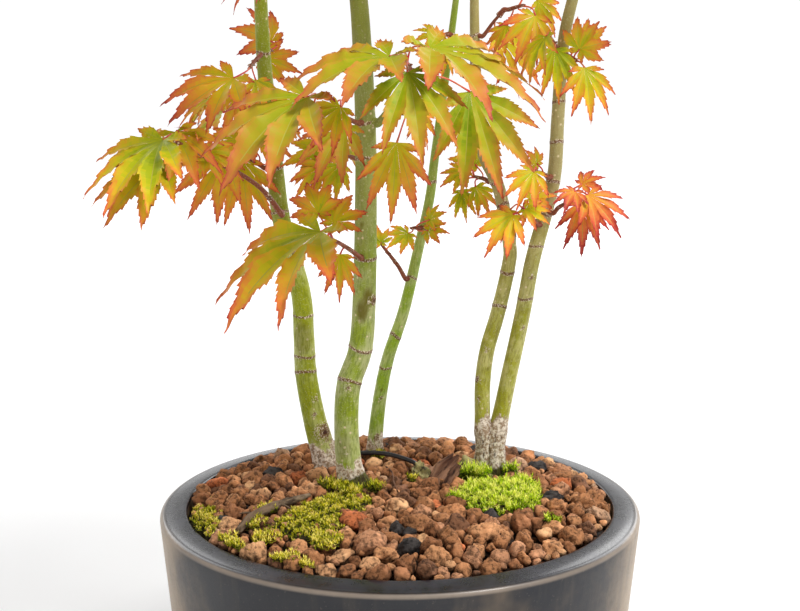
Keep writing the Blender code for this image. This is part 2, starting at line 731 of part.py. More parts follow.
SPRAYS = (
    ("spray_a_left", "bough_a_left", 1, -135, 30, 28, (
        (1.0, 9, -120, 10, 48, -130, -40, -100, 80),
        (0.9, 12, 165, -45, 42, -140, -40, -95, 65),
        (0.5, 8, 80, 65, 14, -120, 15, -90, 60),
        (0.8, 9, 130, 40, 33, -55, -45, -80, 30),
        (0.9, 16, 135, 0, 36, -170, -30, -110, 80),
        (0.3, 8, 95, 10, 22, 0, -45, -90, 50))),
    ("spray_a_inner", "stem_a", 257, -145, 30, 21, (
        (1.0, 4, -140, -20, 35, -165, -55, -90, 15),
        (0.8, 6, 90, -30, 36, -20, -70, -90, 15),
        (0.6, 14, -115, 45, 20, -150, -20, -90, 45),
        (0.5, 15, -20, 80, 23, 0, -35, -90, 25),
        (0.3, 10, 125, 50, 18, -180, 40, -90, 50))),
    ("spray_a_upper", "stem_a", 312, -105, -15, 17, (
        (1.0, 15, -115, -15, 40, -145, -30, -95, 60),
        (0.8, 9, -65, -50, 21, -60, -55, -60, 20))),
    ("spray_a_behind", "stem_a", 314, 70, -10, 3, (
        (1.0, 7, 120, -30, 20, 10, -20, -90, 5),
        (0.8, 12, 90, 20, 24, 160, 20, 100, 20))),
    ("spray_b_front", "bough_b_front", 1, -100, 25, 21, (
        (1.0, 17, -115, 10, 49, -150, -20, -95, 82),
        (0.9, 26, -90, -5, 42, -75, -55, -85, 30),
        (1.0, 12, -25, 30, 58, -25, -35, -75, 82),
        (0.1, 34, 40, -15, 50, -30, -70, -85, 15))),
    ("spray_b_right", "bough_b_front", 0.55, 40, -5, 8, (
        (0.8, 32, -110, -35, 34, -155, -85, -90, 10),
        (0.9, 14, -100, -20, 19, 35, -65, -60, 25),
        (1.0, 9, -45, -15, 27, -30, -40, -70, 30))),
    ("spray_b_left", "stem_b", 284, -115, 15, 48, (
        (1.0, 33, -90, 14, 55, -155, -38, -100, 72),
        (0.6, 9, 30, -40, 32, -135, -50, -110, 20),
        (0.9, 12, -100, -5, 8, -65, -80, -90, 20),
        (0.8, 21, -65, 10, 23, -145, -45, -80, 30))),
    ("spray_b_back", "stem_b", 266, 125, 5, 22, (
        (0.7, 5, -110, -85, 20, -150, -50, -90, 20),
        (1.0, 5, 130, 0, 24, 170, -15, -90, 35),
        (0.9, 8, 170, -45, 21, -165, -20, -100, 30),
        (0.8, 12, 85, 10, 24, 70, -30, 60, 35))),
    ("spray_b_low", "stem_b", 221, -110, 25, 43, (
        (1.0, 9, -110, 25, 60, -145, -35, -105, 85),
        (0.5, 5, -120, -35, 21, -95, -80, -90, 10),
        (0.9, 7, 45, 80, 19, 55, 40, -90, 30),
        (0.9, 13, 155, 60, 19, 115, 45, -90, 20))),
    ("spray_c_low", "stem_c", 198, -135, 50, 27, (
        (1.0, 3, -115, 45, 10, -135, 75, -90, 20),)),
    ("spray_c_middle", "stem_c", 224, -125, 10, 7, (
        (0.9, 5, -120, -25, 15, -155, -25, -90, 35),
        (0.6, 9, -20, 30, 11, -25, 30, -90, 35),
        (0.5, 8, -40, -5, 12, -25, 0, -90, 40))),
    ("spray_c_upper", "stem_c", 321, -120, 0, 8, (
        (0.9, 4, -140, 15, 14, -160, -15, -90, 40),
        (0.8, 7, -60, -55, 16, -120, -65, -90, 25),
        (0.5, 9, -10, -25, 15, -25, -25, -90, 30))),
    ("spray_d_left", "stem_d", 252, 135, 10, 11, (
        (1.0, 5, 150, 25, 15, -165, -25, -90, 45),
        (0.9, 11, 145, -40, 16, -55, -75, -90, 25),
        (0.7, 7, 110, -45, 17, -25, -60, -80, 20),
        (0.6, 11, 105, 30, 16, 150, 45, -90, 30))),
    ("spray_d_right", "bough_d_right", 1, -30, 20, 11, (
        (1.0, 9, -40, -30, 26, -135, -55, -90, 25),
        (0.6, 13, 105, -40, 15, 165, -65, -90, 30),
        (0.3, 26, 100, -30, 34, 25, -45, -90, 40),
        (0.9, 11, 35, 15, 20, 35, -55, -80, 30))),
    ("spray_e_upper_left", "stem_e", 314, -115, 35, 15, (
        (1.0, 5, -125, 15, 25, -125, -55, -150, 30),
        (0.6, 7, -95, -10, 24, -65, -80, -90, 10))),
    ("spray_e_upper_right", "stem_e", 314, -75, -5, 14, (
        (0.8, 6, -55, 50, 18, -35, 55, -90, 30),
        (1.0, 6, -45, -30, 26, -75, -70, -80, 15),
        (0.5, 8, 20, 40, 15, 10, 40, -60, 30))),
    ("spray_e_low_left", "stem_e", 233, -120, 30, 21, (
        (1.0, 6, -145, -15, 24, -145, -45, -100, 25),
        (0.8, 6, -100, 25, 14, -35, -25, -80, 30),
        (0.6, 9, -100, 70, 14, -10, 20, -90, 50),
        (0.9, 7, 160, 5, 16, -145, -70, -90, 10))),
    ("spray_e_middle", "stem_e", 256, -120, 20, 16, (
        (1.0, 4, -110, 5, 21, -130, -50, -95, 20),
        (0.5, 6, -155, 55, 10, -160, 50, -90, 40))),
    ("spray_e_low_right", "stem_e", 239, -55, 30, 17, (
        (1.0, 10, -45, 20, 25, -35, -45, -75, 25),
        (0.9, 6, -10, 5, 26, -95, -80, -90, 10),
        (0.8, 11, -75, 35, 15, -120, -30, -100, 30),
        (0.7, 12, 5, 50, 12, 0, 20, -90, 50),
        (0.4, 11, 40, 65, 14, 0, 70, -90, 30))),
)

# The upper sprays follow one rule: name, limb, where on it, heading, rise and length of the
# twig, pairs of leaves below the end pair, leaf length, seed.

GROWN_SPRAYS = (
    ("spray_a_low_back", "stem_a", 272, 118, 22, 44, 2, 34, 3),
    ("spray_a_side", "stem_a", 352, 205, 28, 46, 2, 38, 4),
    ("spray_a_out", "bough_a_upper", 1, 200, 18, 44, 2, 40, 5),
    ("spray_a_high", "stem_a", 440, 95, 30, 44, 2, 36, 6),
    ("spray_a_top", "stem_a", 1, 140, 62, 34, 1, 34, 7),
    ("spray_b_side_left", "stem_b", 352, 196, 20, 46, 2, 36, 8),
    ("spray_b_side_right", "stem_b", 366, -38, 22, 48, 2, 38, 9),
    ("spray_b_rear", "stem_b", 392, 82, 28, 50, 2, 38, 10),
    ("spray_b_left_end", "bough_b_upper_left", 1, 186, 22, 46, 2, 40, 12),
    ("spray_b_right_end", "bough_b_upper_right", 1, -22, 22, 48, 2, 40, 13),
    ("spray_b_high_front", "stem_b", 440, -118, 26, 46, 2, 38, 14),
    ("spray_b_high_back", "stem_b", 496, 128, 30, 44, 2, 36, 15),
    ("spray_b_top", "stem_b", 1, 30, 70, 34, 2, 36, 16),
    ("spray_c_top", "stem_c", 1, 76, 50, 36, 1, 34, 17),
    ("spray_d_back", "stem_d", 376, 112, 30, 38, 2, 32, 18),
    ("spray_d_top", "stem_d", 1, 60, 62, 34, 1, 34, 19),
    ("spray_e_end", "bough_e_upper", 1, -30, 18, 40, 2, 38, 20),
    ("spray_e_back", "stem_e", 424, 58, 28, 44, 2, 36, 21),
    ("spray_e_top", "stem_e", 1, -70, 64, 34, 1, 34, 22),
)


def bearing(heading, rise):
    turn = math.radians(heading)
    climb = math.radians(rise)
    return Vector((math.cos(turn) * math.cos(climb), math.sin(turn) * math.cos(climb), math.sin(climb)))


def twig_rows(host, at, heading, rise, length):
    # the twig's centres and radii, from just clear of its limb to its end
    centre, radius = axis_at(host, at)
    ahead = bearing(heading, rise)
    if at == 1:
        rows = AXES[host]
        start = centre + (rows[-1][0] - rows[-2][0]).normalized() * CLEAR_OF_LIMB
    else:
        start = centre + bearing(heading, 0) * (radius + CLEAR_OF_LIMB)
    rows = []
    for i in range(4):
        share = i / 3
        sag = Vector((0, 0, -TWIG_SAG * length * MM * share * share))
        rows.append((start + ahead * (length * MM * share) + sag, TWIG_FROM + (TWIG_TO - TWIG_FROM) * share))
    return rows


def ruled_leaves(heading, pairs, leaf_length, seed):
    # opposite pairs that spread from the twig and droop at their tips, and an end pair
    rng = random.Random(seed)
    leaves = []
    for pair in range(pairs + 1):
        station = 0.42 + 0.56 * pair / pairs
        ends = pair == pairs
        for hand in (1, -1):
            lean = heading + ((38 if ends else 66) + rng.uniform(-12, 12)) * hand
            stalk = rng.uniform(12, 20) * (0.8 if ends else 1.0)
            stalk_rise = rng.uniform(6, 27)
            blade = leaf_length * rng.uniform(0.82, 1.12) * (0.86 if ends else 1.0)
            blade_rise = -rng.uniform(28, 62)
            blade_heading = lean - 12 * hand
            leaves.append((station, stalk, lean, stalk_rise, blade, blade_heading, blade_rise,
                           blade_heading, 48))
    return leaves


def join_solids(name, base, others, finish):
    group = bpy.data.collections.new(name + "_leaves")
    bpy.context.scene.collection.children.link(group)
    for number, (points, faces, colour) in enumerate(others):
        piece = add_object("%s_%d" % (name, number), points, faces, colour)
        bpy.context.scene.collection.objects.unlink(piece)
        group.objects.link(piece)
    part = add_object(name, base[0], base[1], finish)
    for solver in ("EXACT", "MANIFOLD"):
        union = part.modifiers.new("join", "BOOLEAN")
        union.operation = "UNION"
        union.operand_type = "COLLECTION"
        union.collection = group
        union.solver = solver
        bpy.context.view_layer.update()
        ready = part.evaluated_get(bpy.context.evaluated_depsgraph_get())
        joined = bpy.data.meshes.new_from_object(ready)
        part.modifiers.remove(union)
        edges = {}
        for face in joined.polygons:
            for key in face.edge_keys:
                edges[key] = edges.get(key, 0) + 1
        if joined.polygons and all(times == 2 for times in edges.values()):
            break
        print("second solver for", name)
    part.data = joined
    for piece in list(group.objects):
        bpy.data.objects.remove(piece, do_unlink=True)
    bpy.data.collections.remove(group)
    return part


def fits(points, faces, blade_faces, blades, twig_tree):
    # clear of everything in place, and of the twig and the leaves of its own spray that are given
    own = tree_of(points, faces[:blade_faces])
    whole = tree_of(points, faces)
    if blades and own.overlap(twig_tree):
        return False
    for other, other_blade in blades:
        if own.overlap(other) or whole.overlap(other_blade):
            return False
    if not is_clear(points[:-6], faces[:blade_faces], LEAF_CLEAR):
        return False
    return is_clear(points[-6:], ((0, 1, 4, 3), (1, 2, 5, 4), (2, 0, 3, 5), (3, 4, 5)), CLEAR_OF_LIMB)


def place_leaf(start, foot, tip, facing, middle, blades, twig_tree):
    # the first small turn of the blade for which there is room
    for lift, swing in TRIES:
        turned = turned_tip(foot, tip, lift, swing)
        if (turned - middle).length > REACH:
            continue
        points, faces, blade_faces = leaf_solid(start, foot, turned, *facing)
        if fits(points, faces, blade_faces, blades, twig_tree):
            return points, faces, blade_faces
    return None


def make_spray(name, host, at, heading, rise, length, leaves, number, crowded):
    # in a crowded spray leaves may lie on one another
    rows, normal = seated_rows(host, twig_rows(host, at, heading, rise, length), run=0.0016)
    bud = rows[-1][0] + (rows[-1][0] - rows[-2][0]).normalized() * BUD_LENGTH
    points, faces = tube(rows + [(bud, BUD_RADIUS)], 5, start_normal=normal)
    twig_tree = tree_of(points, faces)
    base = (points, faces)
    pieces = []
    blades = []
    middle = along_path(rows, 0.5)
    for count, leaf in enumerate(leaves):
        station, stalk, stalk_heading, stalk_rise, blade, blade_heading, blade_rise, *facing = leaf
        start = along_path(rows, max(station - 0.02 * count, 0.1))
        foot = along_path(rows, station) + bearing(stalk_heading, stalk_rise) * (stalk * MM)
        tip = foot + bearing(blade_heading, blade_rise) * (blade * MM)
        made = place_leaf(start, foot, tip, facing, middle, blades, twig_tree)
        if made is None and crowded:
            made = place_leaf(start, foot, tip, facing, middle, [], twig_tree)
        if made is None:
            print("  no room for leaf", count, "of", name)
            continue
        points, faces, blade_faces = made
        blades.append((tree_of(points, faces), tree_of(points, faces[:blade_faces])))
        pieces.append((points, faces, LEAF_COLOURS[(number + len(pieces)) % 4]))
    return keep(join_solids(name, base, pieces, RED_BARK)), len(pieces)


total = 0
for number, (name, host, at, heading, rise, length, leaves) in enumerate(SPRAYS):
    part, grown = make_spray(name, host, at, heading, rise, length, leaves, number, True)
    total += grown

for number, (name, host, at, heading, rise, length, pairs, leaf_length, seed) in enumerate(GROWN_SPRAYS):
    leaves = ruled_leaves(heading, pairs, leaf_length, seed)
    part, grown = make_spray(name, host, at, heading, rise, length, leaves, number, False)
    total += grown

solids = [o for o in bpy.data.objects if o.type == "MESH"]
print("nodes", len(solids), "leaves", total)
print("triangles", sum(len(p.vertices) - 2 for o in solids for p in o.data.polygons))
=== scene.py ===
# %% [markdown]
# # A maple bonsai in a glazed pot
# The finished object is a clump of five slender green stems with drooping, star-shaped leaves in
# autumn tints, in a round blue-black pot of baked clay grit. The engineering model already holds
# its sizes. This notebook loads that model as a fixed frame and dresses it: every plain solid is
# replaced by a finer mesh that keeps its place and its reach.

# %% Load the frame
import math
import random

import bpy
import numpy as np
from mathutils import Matrix, Vector
from mathutils.bvhtree import BVHTree
from mathutils.kdtree import KDTree


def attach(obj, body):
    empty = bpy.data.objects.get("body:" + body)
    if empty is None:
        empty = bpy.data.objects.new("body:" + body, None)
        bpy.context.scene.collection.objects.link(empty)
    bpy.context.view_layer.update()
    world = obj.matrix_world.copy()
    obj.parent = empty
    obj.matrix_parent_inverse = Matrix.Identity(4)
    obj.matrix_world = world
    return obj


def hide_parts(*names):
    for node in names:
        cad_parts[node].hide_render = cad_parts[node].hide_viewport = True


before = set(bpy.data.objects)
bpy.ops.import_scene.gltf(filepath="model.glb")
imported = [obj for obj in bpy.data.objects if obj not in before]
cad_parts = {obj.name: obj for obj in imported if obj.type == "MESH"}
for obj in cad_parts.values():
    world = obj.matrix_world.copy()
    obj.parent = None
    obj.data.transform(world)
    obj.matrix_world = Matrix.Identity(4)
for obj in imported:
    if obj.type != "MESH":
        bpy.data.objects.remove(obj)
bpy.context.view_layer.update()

MM = 0.001


def dress(piece, slot, *nodes):
    """Ties a piece to the body and hides the nodes that it stands for; its slot is not used."""
    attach(piece, "root")
    if nodes:
        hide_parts(*nodes)


# %% [markdown]
# ## The camera
# A bonsai is looked at from slightly above the rim, from about arm's length. The camera could be
# aimed with a tracking constraint, but four numbers are enough: where the eye is and how far it
# looks down. A long lens keeps the stems upright and the rim's ellipse flat.

# %% Camera
EYE = (0.0, -0.7378, 0.3536)
EYE_DOWN_DEG = 11.91


def put(name, data, place, turn):
    """Makes an object of some data and puts it in the scene."""
    made = bpy.data.objects.new(name, data)
    bpy.context.scene.collection.objects.link(made)
    made.location = place
    made.rotation_euler = turn
    return made


camera = put("camera", bpy.data.cameras.new("camera"), EYE, (math.radians(90 - EYE_DOWN_DEG), 0, 0))
camera.data.lens = 72
camera.data.sensor_width = 36
camera.data.clip_start = 0.01
bpy.context.scene.camera = camera
print("camera at", EYE)

# %% [markdown]
# ## Writing shader maths
# A material is a small graph of nodes. Written node by node it gets long and hard to read, so one
# class wraps an output socket and lets Python's own operators add the Math nodes. Every other node
# comes from its method `node`, which takes the node's type, its settings and its inputs.

# %% A socket that does sums
class Shade:
    """An output socket of a material's node tree; + - and * on it add Math nodes."""

    def __init__(self, tree, socket=None):
        self.tree, self.socket = tree, socket

    def node(self, kind, settings=None, inputs=None, output=0):
        made = self.tree.nodes.new("ShaderNode" + kind)
        for name, value in (settings or {}).items():
            setattr(made, name, value)
        for name, value in (inputs or {}).items():
            if isinstance(value, Shade):
                self.tree.links.new(value.socket, made.inputs[name])
            else:
                made.inputs[name].default_value = value
        return Shade(self.tree, made.outputs[output])

    def sum(self, operation, first, second=0.5):
        return self.node("Math", {"operation": operation}, {0: first, 1: second})

    def __add__(self, other):
        return self.sum("ADD", self, other)

    def __mul__(self, other):
        return self.sum("MULTIPLY", self, other)

    def __sub__(self, other):
        return self.sum("SUBTRACT", self, other)

    def __rsub__(self, other):
        return self.sum("SUBTRACT", other, self)

    __radd__, __rmul__ = __add__, __mul__

    def place(self):
        """Where a point of the object lies, in metres."""
        return self.node("TexCoord", output=3)

    def layer(self, name, output=2):
        """A number that the mesh carries at each point, or with output 1 a vector."""
        return self.node("Attribute", {"attribute_name": name}, output=output)

    def part(self, axis):
        """One axis of a place: 0, 1 or 2 for x, y or z."""
        return self.node("SeparateXYZ", inputs={0: self}, output=axis)

    def vector(self, operation, other=(0, 0, 0), output=0):
        return self.node("VectorMath", {"operation": operation}, {0: self, 1: other}, output)

    def noise(self, scale, detail, roughness=0.5):
        """Clouds of some size over a place."""
        return self.node("TexNoise", inputs={"Vector": self, "Scale": scale, "Detail": detail,
                                             "Roughness": roughness})

    def cells(self, scale):
        return self.node("TexVoronoi", inputs={"Vector": self, "Scale": scale, "Randomness": 1.0})

    def ramp(self, low, high):
        """0 below low, 1 above high, and a smooth step in between."""
        return self.node("MapRange", {"interpolation_type": "SMOOTHSTEP"}, {0: self, 1: low, 2: high})

    def mix(self, first, second):
        """A colour between two colours, with this shade as the factor."""
        pair = [c if isinstance(c, Shade) else (*c, 1.0) for c in (first, second)]
        return self.node("Mix", {"data_type": "RGBA"}, {0: self, 6: pair[0], 7: pair[1]}, output=2)

    def bump(self, strength, distance):
        return self.node("Bump", {}, {"Strength": strength, "Distance": distance, "Height": self})


def srgb(red, green, blue):
    """A colour from its screen values of 0 to 255."""
    return tuple(share / 12.92 if share <= 0.04045 else ((share + 0.055) / 1.055) ** 2.4
                 for share in (red / 255, green / 255, blue / 255))


def finish(name, colour=None, roughness=0.5, coat=0.0, coat_roughness=0.1, specular=0.5):
    """A material with plain numbers set on the shader's own sockets."""
    made = bpy.data.materials.new(name)
    made.use_nodes = True
    inputs = made.node_tree.nodes["Principled BSDF"].inputs
    if colour is not None:
        inputs["Base Color"].default_value = made.diffuse_color = (*colour, 1.0)
    for socket, value in (("Roughness", roughness), ("Coat Weight", coat),
                          ("Coat Roughness", coat_roughness), ("Specular IOR Level", specular)):
        inputs[socket].default_value = value
    return made


def feed(material, **links):
    """Links shades to the shader's sockets: base_color=..., roughness=..., normal=..."""
    for name, shade in links.items():
        shader = material.node_tree.nodes["Principled BSDF"]
        material.node_tree.links.new(shade.socket, shader.inputs[name.replace("_", " ").title()])


print("shader helpers are ready")

# %% [markdown]
# ## Building meshes fast
# A crown of serrated leaves and a pot of grit need some hundred thousand small faces. Adding them
# one by one with bmesh works but is slow. Here each small shape is a block of numbers, and a heap
# joins the blocks into one mesh in a single step, with a material number for each face.

# %% A heap of small shapes
class Heap:
    """Collects small shapes and joins them into one mesh."""

    def __init__(self):
        self.points, self.faces, self.paints, self.layers, self.count = [], [], [], {}, 0

    def add(self, points, faces, paint=0, **layers):
        self.points.append(np.asarray(points, dtype=float))
        self.add_faces(np.asarray(faces) + self.count, paint)
        for name, values in layers.items():
            self.layers.setdefault(name, []).append(values)
        self.count += len(points)

    def add_faces(self, faces, paint=0):
        self.faces.append(faces)
        self.paints.append(np.broadcast_to(paint, len(faces)))

    def cap(self, first, sides, paint=0):
        """Closes a ring of the last points with one face; sides below zero turn it over."""
        self.add_faces((first + np.arange(abs(sides))[::1 if sides > 0 else -1])[None, :], paint)

    def object(self, name, finishes):
        mesh = bpy.data.meshes.new(name)
        corners = np.concatenate([block.ravel() for block in self.faces])
        sides = np.concatenate([np.full(len(block), block.shape[1]) for block in self.faces])
        mesh.vertices.add(self.count)
        mesh.loops.add(len(corners))
        mesh.polygons.add(len(sides))
        mesh.vertices.foreach_set("co", np.concatenate(self.points).ravel())
        mesh.loops.foreach_set("vertex_index", corners)
        for key, values in (("loop_start", np.concatenate([[0], np.cumsum(sides)[:-1]])),
                            ("loop_total", sides), ("material_index", np.concatenate(self.paints)),
                            ("use_smooth", np.full(len(sides), True))):
            mesh.polygons.foreach_set(key, values)
        for layer, blocks in self.layers.items():
            values = np.concatenate(blocks)
            kind, key = ("FLOAT_VECTOR", "vector") if values.ndim == 2 else ("FLOAT", "value")
            mesh.attributes.new(layer, kind, "POINT").data.foreach_set(key, values.ravel())
        mesh.update(calc_edges=True)
        for material in finishes:
            mesh.materials.append(material)
        print("%s: %d triangles" % (name, (sides - 2).sum()))
        return put(name, mesh, (0, 0, 0), (0, 0, 0))


def circle(sides):
    """The angles of the points of a ring."""
    return np.arange(sides) * 2 * math.pi / sides


def rings(reach, level, sides):
    """Rings of points about the z axis, one for each radius and height."""
    around = circle(sides)
    reach = np.asarray(reach)[:, None]
    level = np.broadcast_to(np.asarray(level)[:, None], (len(reach), sides))
    return np.stack([reach * np.cos(around), reach * np.sin(around), level], axis=2)


def ring_faces(count, sides):
    """Quads between rings of points, each ring having the same number of sides."""
    row = np.arange(sides)
    after = (row + 1) % sides
    quad = np.stack([row, after, sides + after, sides + row], axis=1)
    return np.concatenate([quad + i * sides for i in range(count - 1)])


print("mesh helpers are ready")

# %% [markdown]
# ## The pot
# A drum of stoneware, thrown with a slight taper and a broad rim that rises a little to a crisp
# inner lip, dipped in a blue-black glaze. It could be a cylinder with bevels, but a turned profile
# keeps the round outer edge, with a pale band painted on it as a highlight, and the foot that lifts it.

# %% Pot sizes
POT_RADIUS = 0.115
POT_HEIGHT = 0.100
POT_TAPER_DEG = 5.0
RIM_WIDTH = 0.0130
RIM_ROUND = 0.0025
RIM_RISE = 0.0014
LIP_ROUND = 0.0013
FOOT_ROUND = 0.003
FOOT_LIFT = 0.0012
POT_FLOOR = 0.009
POT_SIDES = 192
FOOT_RADIUS = POT_RADIUS - POT_HEIGHT * math.tan(math.radians(POT_TAPER_DEG))
INNER_RADIUS = POT_RADIUS - RIM_WIDTH


def arc(x, z, radius, start, cuts):
    """A quarter turn in a profile, from an angle in degrees."""
    turn = np.radians(start + 90 * np.arange(1, cuts + 1) / cuts)
    return np.column_stack([x + radius * np.cos(turn), z + radius * np.sin(turn)])


def pot_profile():
    """Radius and height from the middle of the underside, round the rim, to the inner floor."""
    under = FOOT_RADIUS - 0.012
    top, lip, shoulder = POT_RADIUS - RIM_ROUND, POT_HEIGHT + RIM_RISE, POT_HEIGHT - RIM_ROUND
    wall, rim = np.arange(1, 21) / 20, np.arange(1, 11) / 10
    return np.concatenate([
        [(0, FOOT_LIFT), (under, FOOT_LIFT), (FOOT_RADIUS - 0.010, 0), (FOOT_RADIUS - FOOT_ROUND, 0)],
        arc(FOOT_RADIUS - FOOT_ROUND, FOOT_ROUND, FOOT_ROUND, -90, 6),
        np.column_stack([FOOT_RADIUS + (POT_RADIUS - FOOT_RADIUS) * wall,
                         FOOT_ROUND + (shoulder - FOOT_ROUND) * wall]),
        arc(top, shoulder, RIM_ROUND, 0, 8),
        np.column_stack([top - (top - INNER_RADIUS - LIP_ROUND) * rim,
                         POT_HEIGHT + RIM_RISE * (rim + 0.10 * np.sin(math.pi * rim))]),
        arc(INNER_RADIUS + LIP_ROUND, lip - LIP_ROUND, LIP_ROUND, 90, 6),
        [(INNER_RADIUS, POT_HEIGHT - 0.002), (INNER_RADIUS, POT_HEIGHT - 0.012),
         (under, POT_FLOOR + 0.004), (FOOT_RADIUS - 0.016, POT_FLOOR), (0, POT_FLOOR)]])


# %% Turn and glaze the pot
def glaze():
    """Blue-black glaze: glossy on the rim and satin on the side, with brownish runs and wear; the pale band
    on the rim's outer edge is a painted highlight, and the brown that is heavier on the left and right flanks
    is painted reflection.
    """
    made = finish("pot_glaze", roughness=0.3, coat_roughness=0.12, specular=0.36)
    place = Shade(made.node_tree).place()
    height = place.part(2)
    reach = place.vector("MULTIPLY", (1, 1, 0)).vector("LENGTH", output=1)
    on_rim = height.ramp(POT_HEIGHT - 0.0008, POT_HEIGHT + 0.0002)
    cloud = place.noise(34, 5, 0.62)
    runs = place.vector("MULTIPLY", (1, 1, 0.12)).noise(75, 4, 0.6)
    speck = place.noise(900, 2, 0.6)
    pit = place.cells(210).ramp(0.075, 0.035) * runs.ramp(0.50, 0.56)
    body = cloud.ramp(0.34, 0.70).mix(srgb(22, 24, 31), srgb(34, 34, 38))
    body = (runs.ramp(0.50, 0.72) * 0.25).mix(body, srgb(84, 74, 62))
    body = (speck.ramp(0.62, 0.74) * 0.25).mix(body, srgb(112, 102, 92))
    body = pit.mix(body, srgb(24, 22, 24))
    # Brown wear patches, painted heavier towards the left and right flanks as painted reflection of the room
    # at the grazing sides.
    side_sheen = place.sum("ABSOLUTE", place.part(0)).ramp(0.080, 0.113)
    wear_and_side_sheen = (0.42 * side_sheen + place.noise(11, 5, 0.6)).ramp(0.56, 0.92) * (0.28 + 1.10 * runs)
    body = wear_and_side_sheen.mix(body, srgb(158, 135, 106))
    # Painted highlight: a pale band along the rim's outer edge stands in for the edge's shine.
    edge_highlight = reach.ramp(POT_RADIUS - 0.0018, POT_RADIUS - 0.0006) * height.ramp(0.0972, 0.0986)
    body = (edge_highlight * (0.30 + 0.8 * cloud)).mix(body, srgb(146, 132, 118))
    smear = place.noise(60, 6, 0.7)
    top = smear.ramp(0.42, 0.62).mix(srgb(8, 8, 13), srgb(30, 29, 38))
    relief = cloud * 0.7 + runs * 0.5 + speck * (0.3 - 0.22 * on_rim) - pit * 0.6
    feed(made, base_color=on_rim.mix(body, top),
         roughness=0.38 + 0.10 * cloud - 0.24 * on_rim + 0.16 * on_rim * smear
         + 0.10 * speck.ramp(0.5, 0.7),
         coat_weight=0.15 + 0.25 * on_rim, normal=relief.bump(0.16, 0.0006))
    return made


profile = pot_profile()
body = rings(*profile[1:-1].T, POT_SIDES)
row = np.arange(POT_SIDES)
after = (row + 1) % POT_SIDES
last = (len(body) - 1) * POT_SIDES
middle = np.full(POT_SIDES, last + POT_SIDES)
heap = Heap()
heap.add(np.concatenate([body.reshape(-1, 3), [(0, 0, profile[0][1]), (0, 0, profile[-1][1])]]),
         ring_faces(len(body), POT_SIDES))
heap.add_faces(np.stack([after, row, middle], axis=1))
heap.add_faces(np.stack([last + row, last + after, middle + 1], axis=1))
dress(heap.object("glazed_pot", [glaze()]), "pot_glaze", "pot")

# %% [markdown]
# ## The ground in the pot
# The pot is filled with baked clay grit: rough, reddish-brown lumps from 4 to 13 mm, heaped a
# little in the middle and falling away to the rim. A bump texture on a disc would look flat from
# this near, so the lumps are real: each is a ball pushed in and out by a few waves, and they are
# thrown down one by one, the largest first, where there is room. A dark bed and a lower layer in
# only the darker tones fill the gaps as painted shade.

# %% The shape of the ground
SOIL_LEVEL = 0.104
SOIL_FALL = 0.0045
SOIL_LEVEL_TO = 0.70
BED_DEPTH = 0.0042
BED_SIDES = 72
BED_RINGS = 24


def mound(x, y):
    """Height of the ground at a place, all in metres."""
    share = np.hypot(x, y) / INNER_RADIUS
    fall = np.clip((share - SOIL_LEVEL_TO) / (1 - SOIL_LEVEL_TO), 0.0, 1.0)
    return SOIL_LEVEL - SOIL_FALL * fall * fall * (3 - 2 * fall)


bed = Heap()
bed_reach = np.linspace(0.001, INNER_RADIUS - 0.0004, BED_RINGS)
grid = rings([*bed_reach, FOOT_RADIUS - 0.013], np.full(BED_RINGS + 1, POT_FLOOR + 0.001), BED_SIDES)
x, y = grid[:-1, :, 0], grid[:-1, :, 1]
grid[:-1, :, 2] = mound(x, y) - BED_DEPTH + 0.0007 * np.sin(x * 900) * np.cos(y * 700)
bed.add(grid.reshape(-1, 3), ring_faces(BED_RINGS + 1, BED_SIDES))
bed.cap(0, -BED_SIDES)
bed.cap(BED_RINGS * BED_SIDES, BED_SIDES)

# %% Grit finishes
GRIT_TONES = (
    srgb(178, 122, 80), srgb(196, 140, 96), srgb(164, 112, 73), srgb(206, 154, 110),
    srgb(150, 100, 65), srgb(184, 132, 96), srgb(194, 112, 68), srgb(124, 85, 60),
    srgb(190, 150, 118), srgb(62, 58, 56),
)


def grit_finish(number, tone):
    """Baked clay: matt, dusty on the high spots and full of fine pores, with painted shade in the gaps
    between lumps.
    """
    made = finish("baked_clay_%d" % number, colour=tone, roughness=0.92, specular=0.25)
    place = Shade(made.node_tree).place()
    grain = place.noise(420, 6, 0.72)
    dark = tuple(channel * 0.30 for channel in tone)
    pale = tuple(min(1.0, channel * 1.75 + 0.02) for channel in tone)
    # Painted shade: an ambient occlusion node darkens the colour to deep brown in the gaps between lumps.
    gap_shade = place.node("AmbientOcclusion", {"samples": 6}, {"Distance": 0.0045}, output=1)
    colour = grain.ramp(0.40, 0.54).mix(dark, tone)
    colour = (place.noise(130, 3, 0.6).ramp(0.50, 0.70) * 0.8).mix(colour, pale)
    colour = (gap_shade.ramp(0.62, 0.22) * 0.9).mix(colour, srgb(52, 33, 22))
    relief = grain + place.cells(900).ramp(0.0, 0.35) * 0.4
    feed(made, base_color=colour, normal=relief.bump(0.75, 0.0009))
    return made


# A dark bed under the lumps: painted shade for the gaps between them.
painted_shade_bed = finish("painted_shade_bed", colour=srgb(40, 30, 24), roughness=0.95, specular=0.1)
grit_finishes = [grit_finish(number, tone) for number, tone in enumerate(GRIT_TONES)]
print(len(grit_finishes), "grit tones")

# %% [markdown]
# ## What lies on the grit
# Three cushions of moss, a bare surface root, a lump of old wood and the end of a wire lie on the
# grit. Their outlines are few and irregular, so they are kept as short lists in millimetres, and
# the grit is thrown down with them in mind: no lump lands in the moss or in a stem.

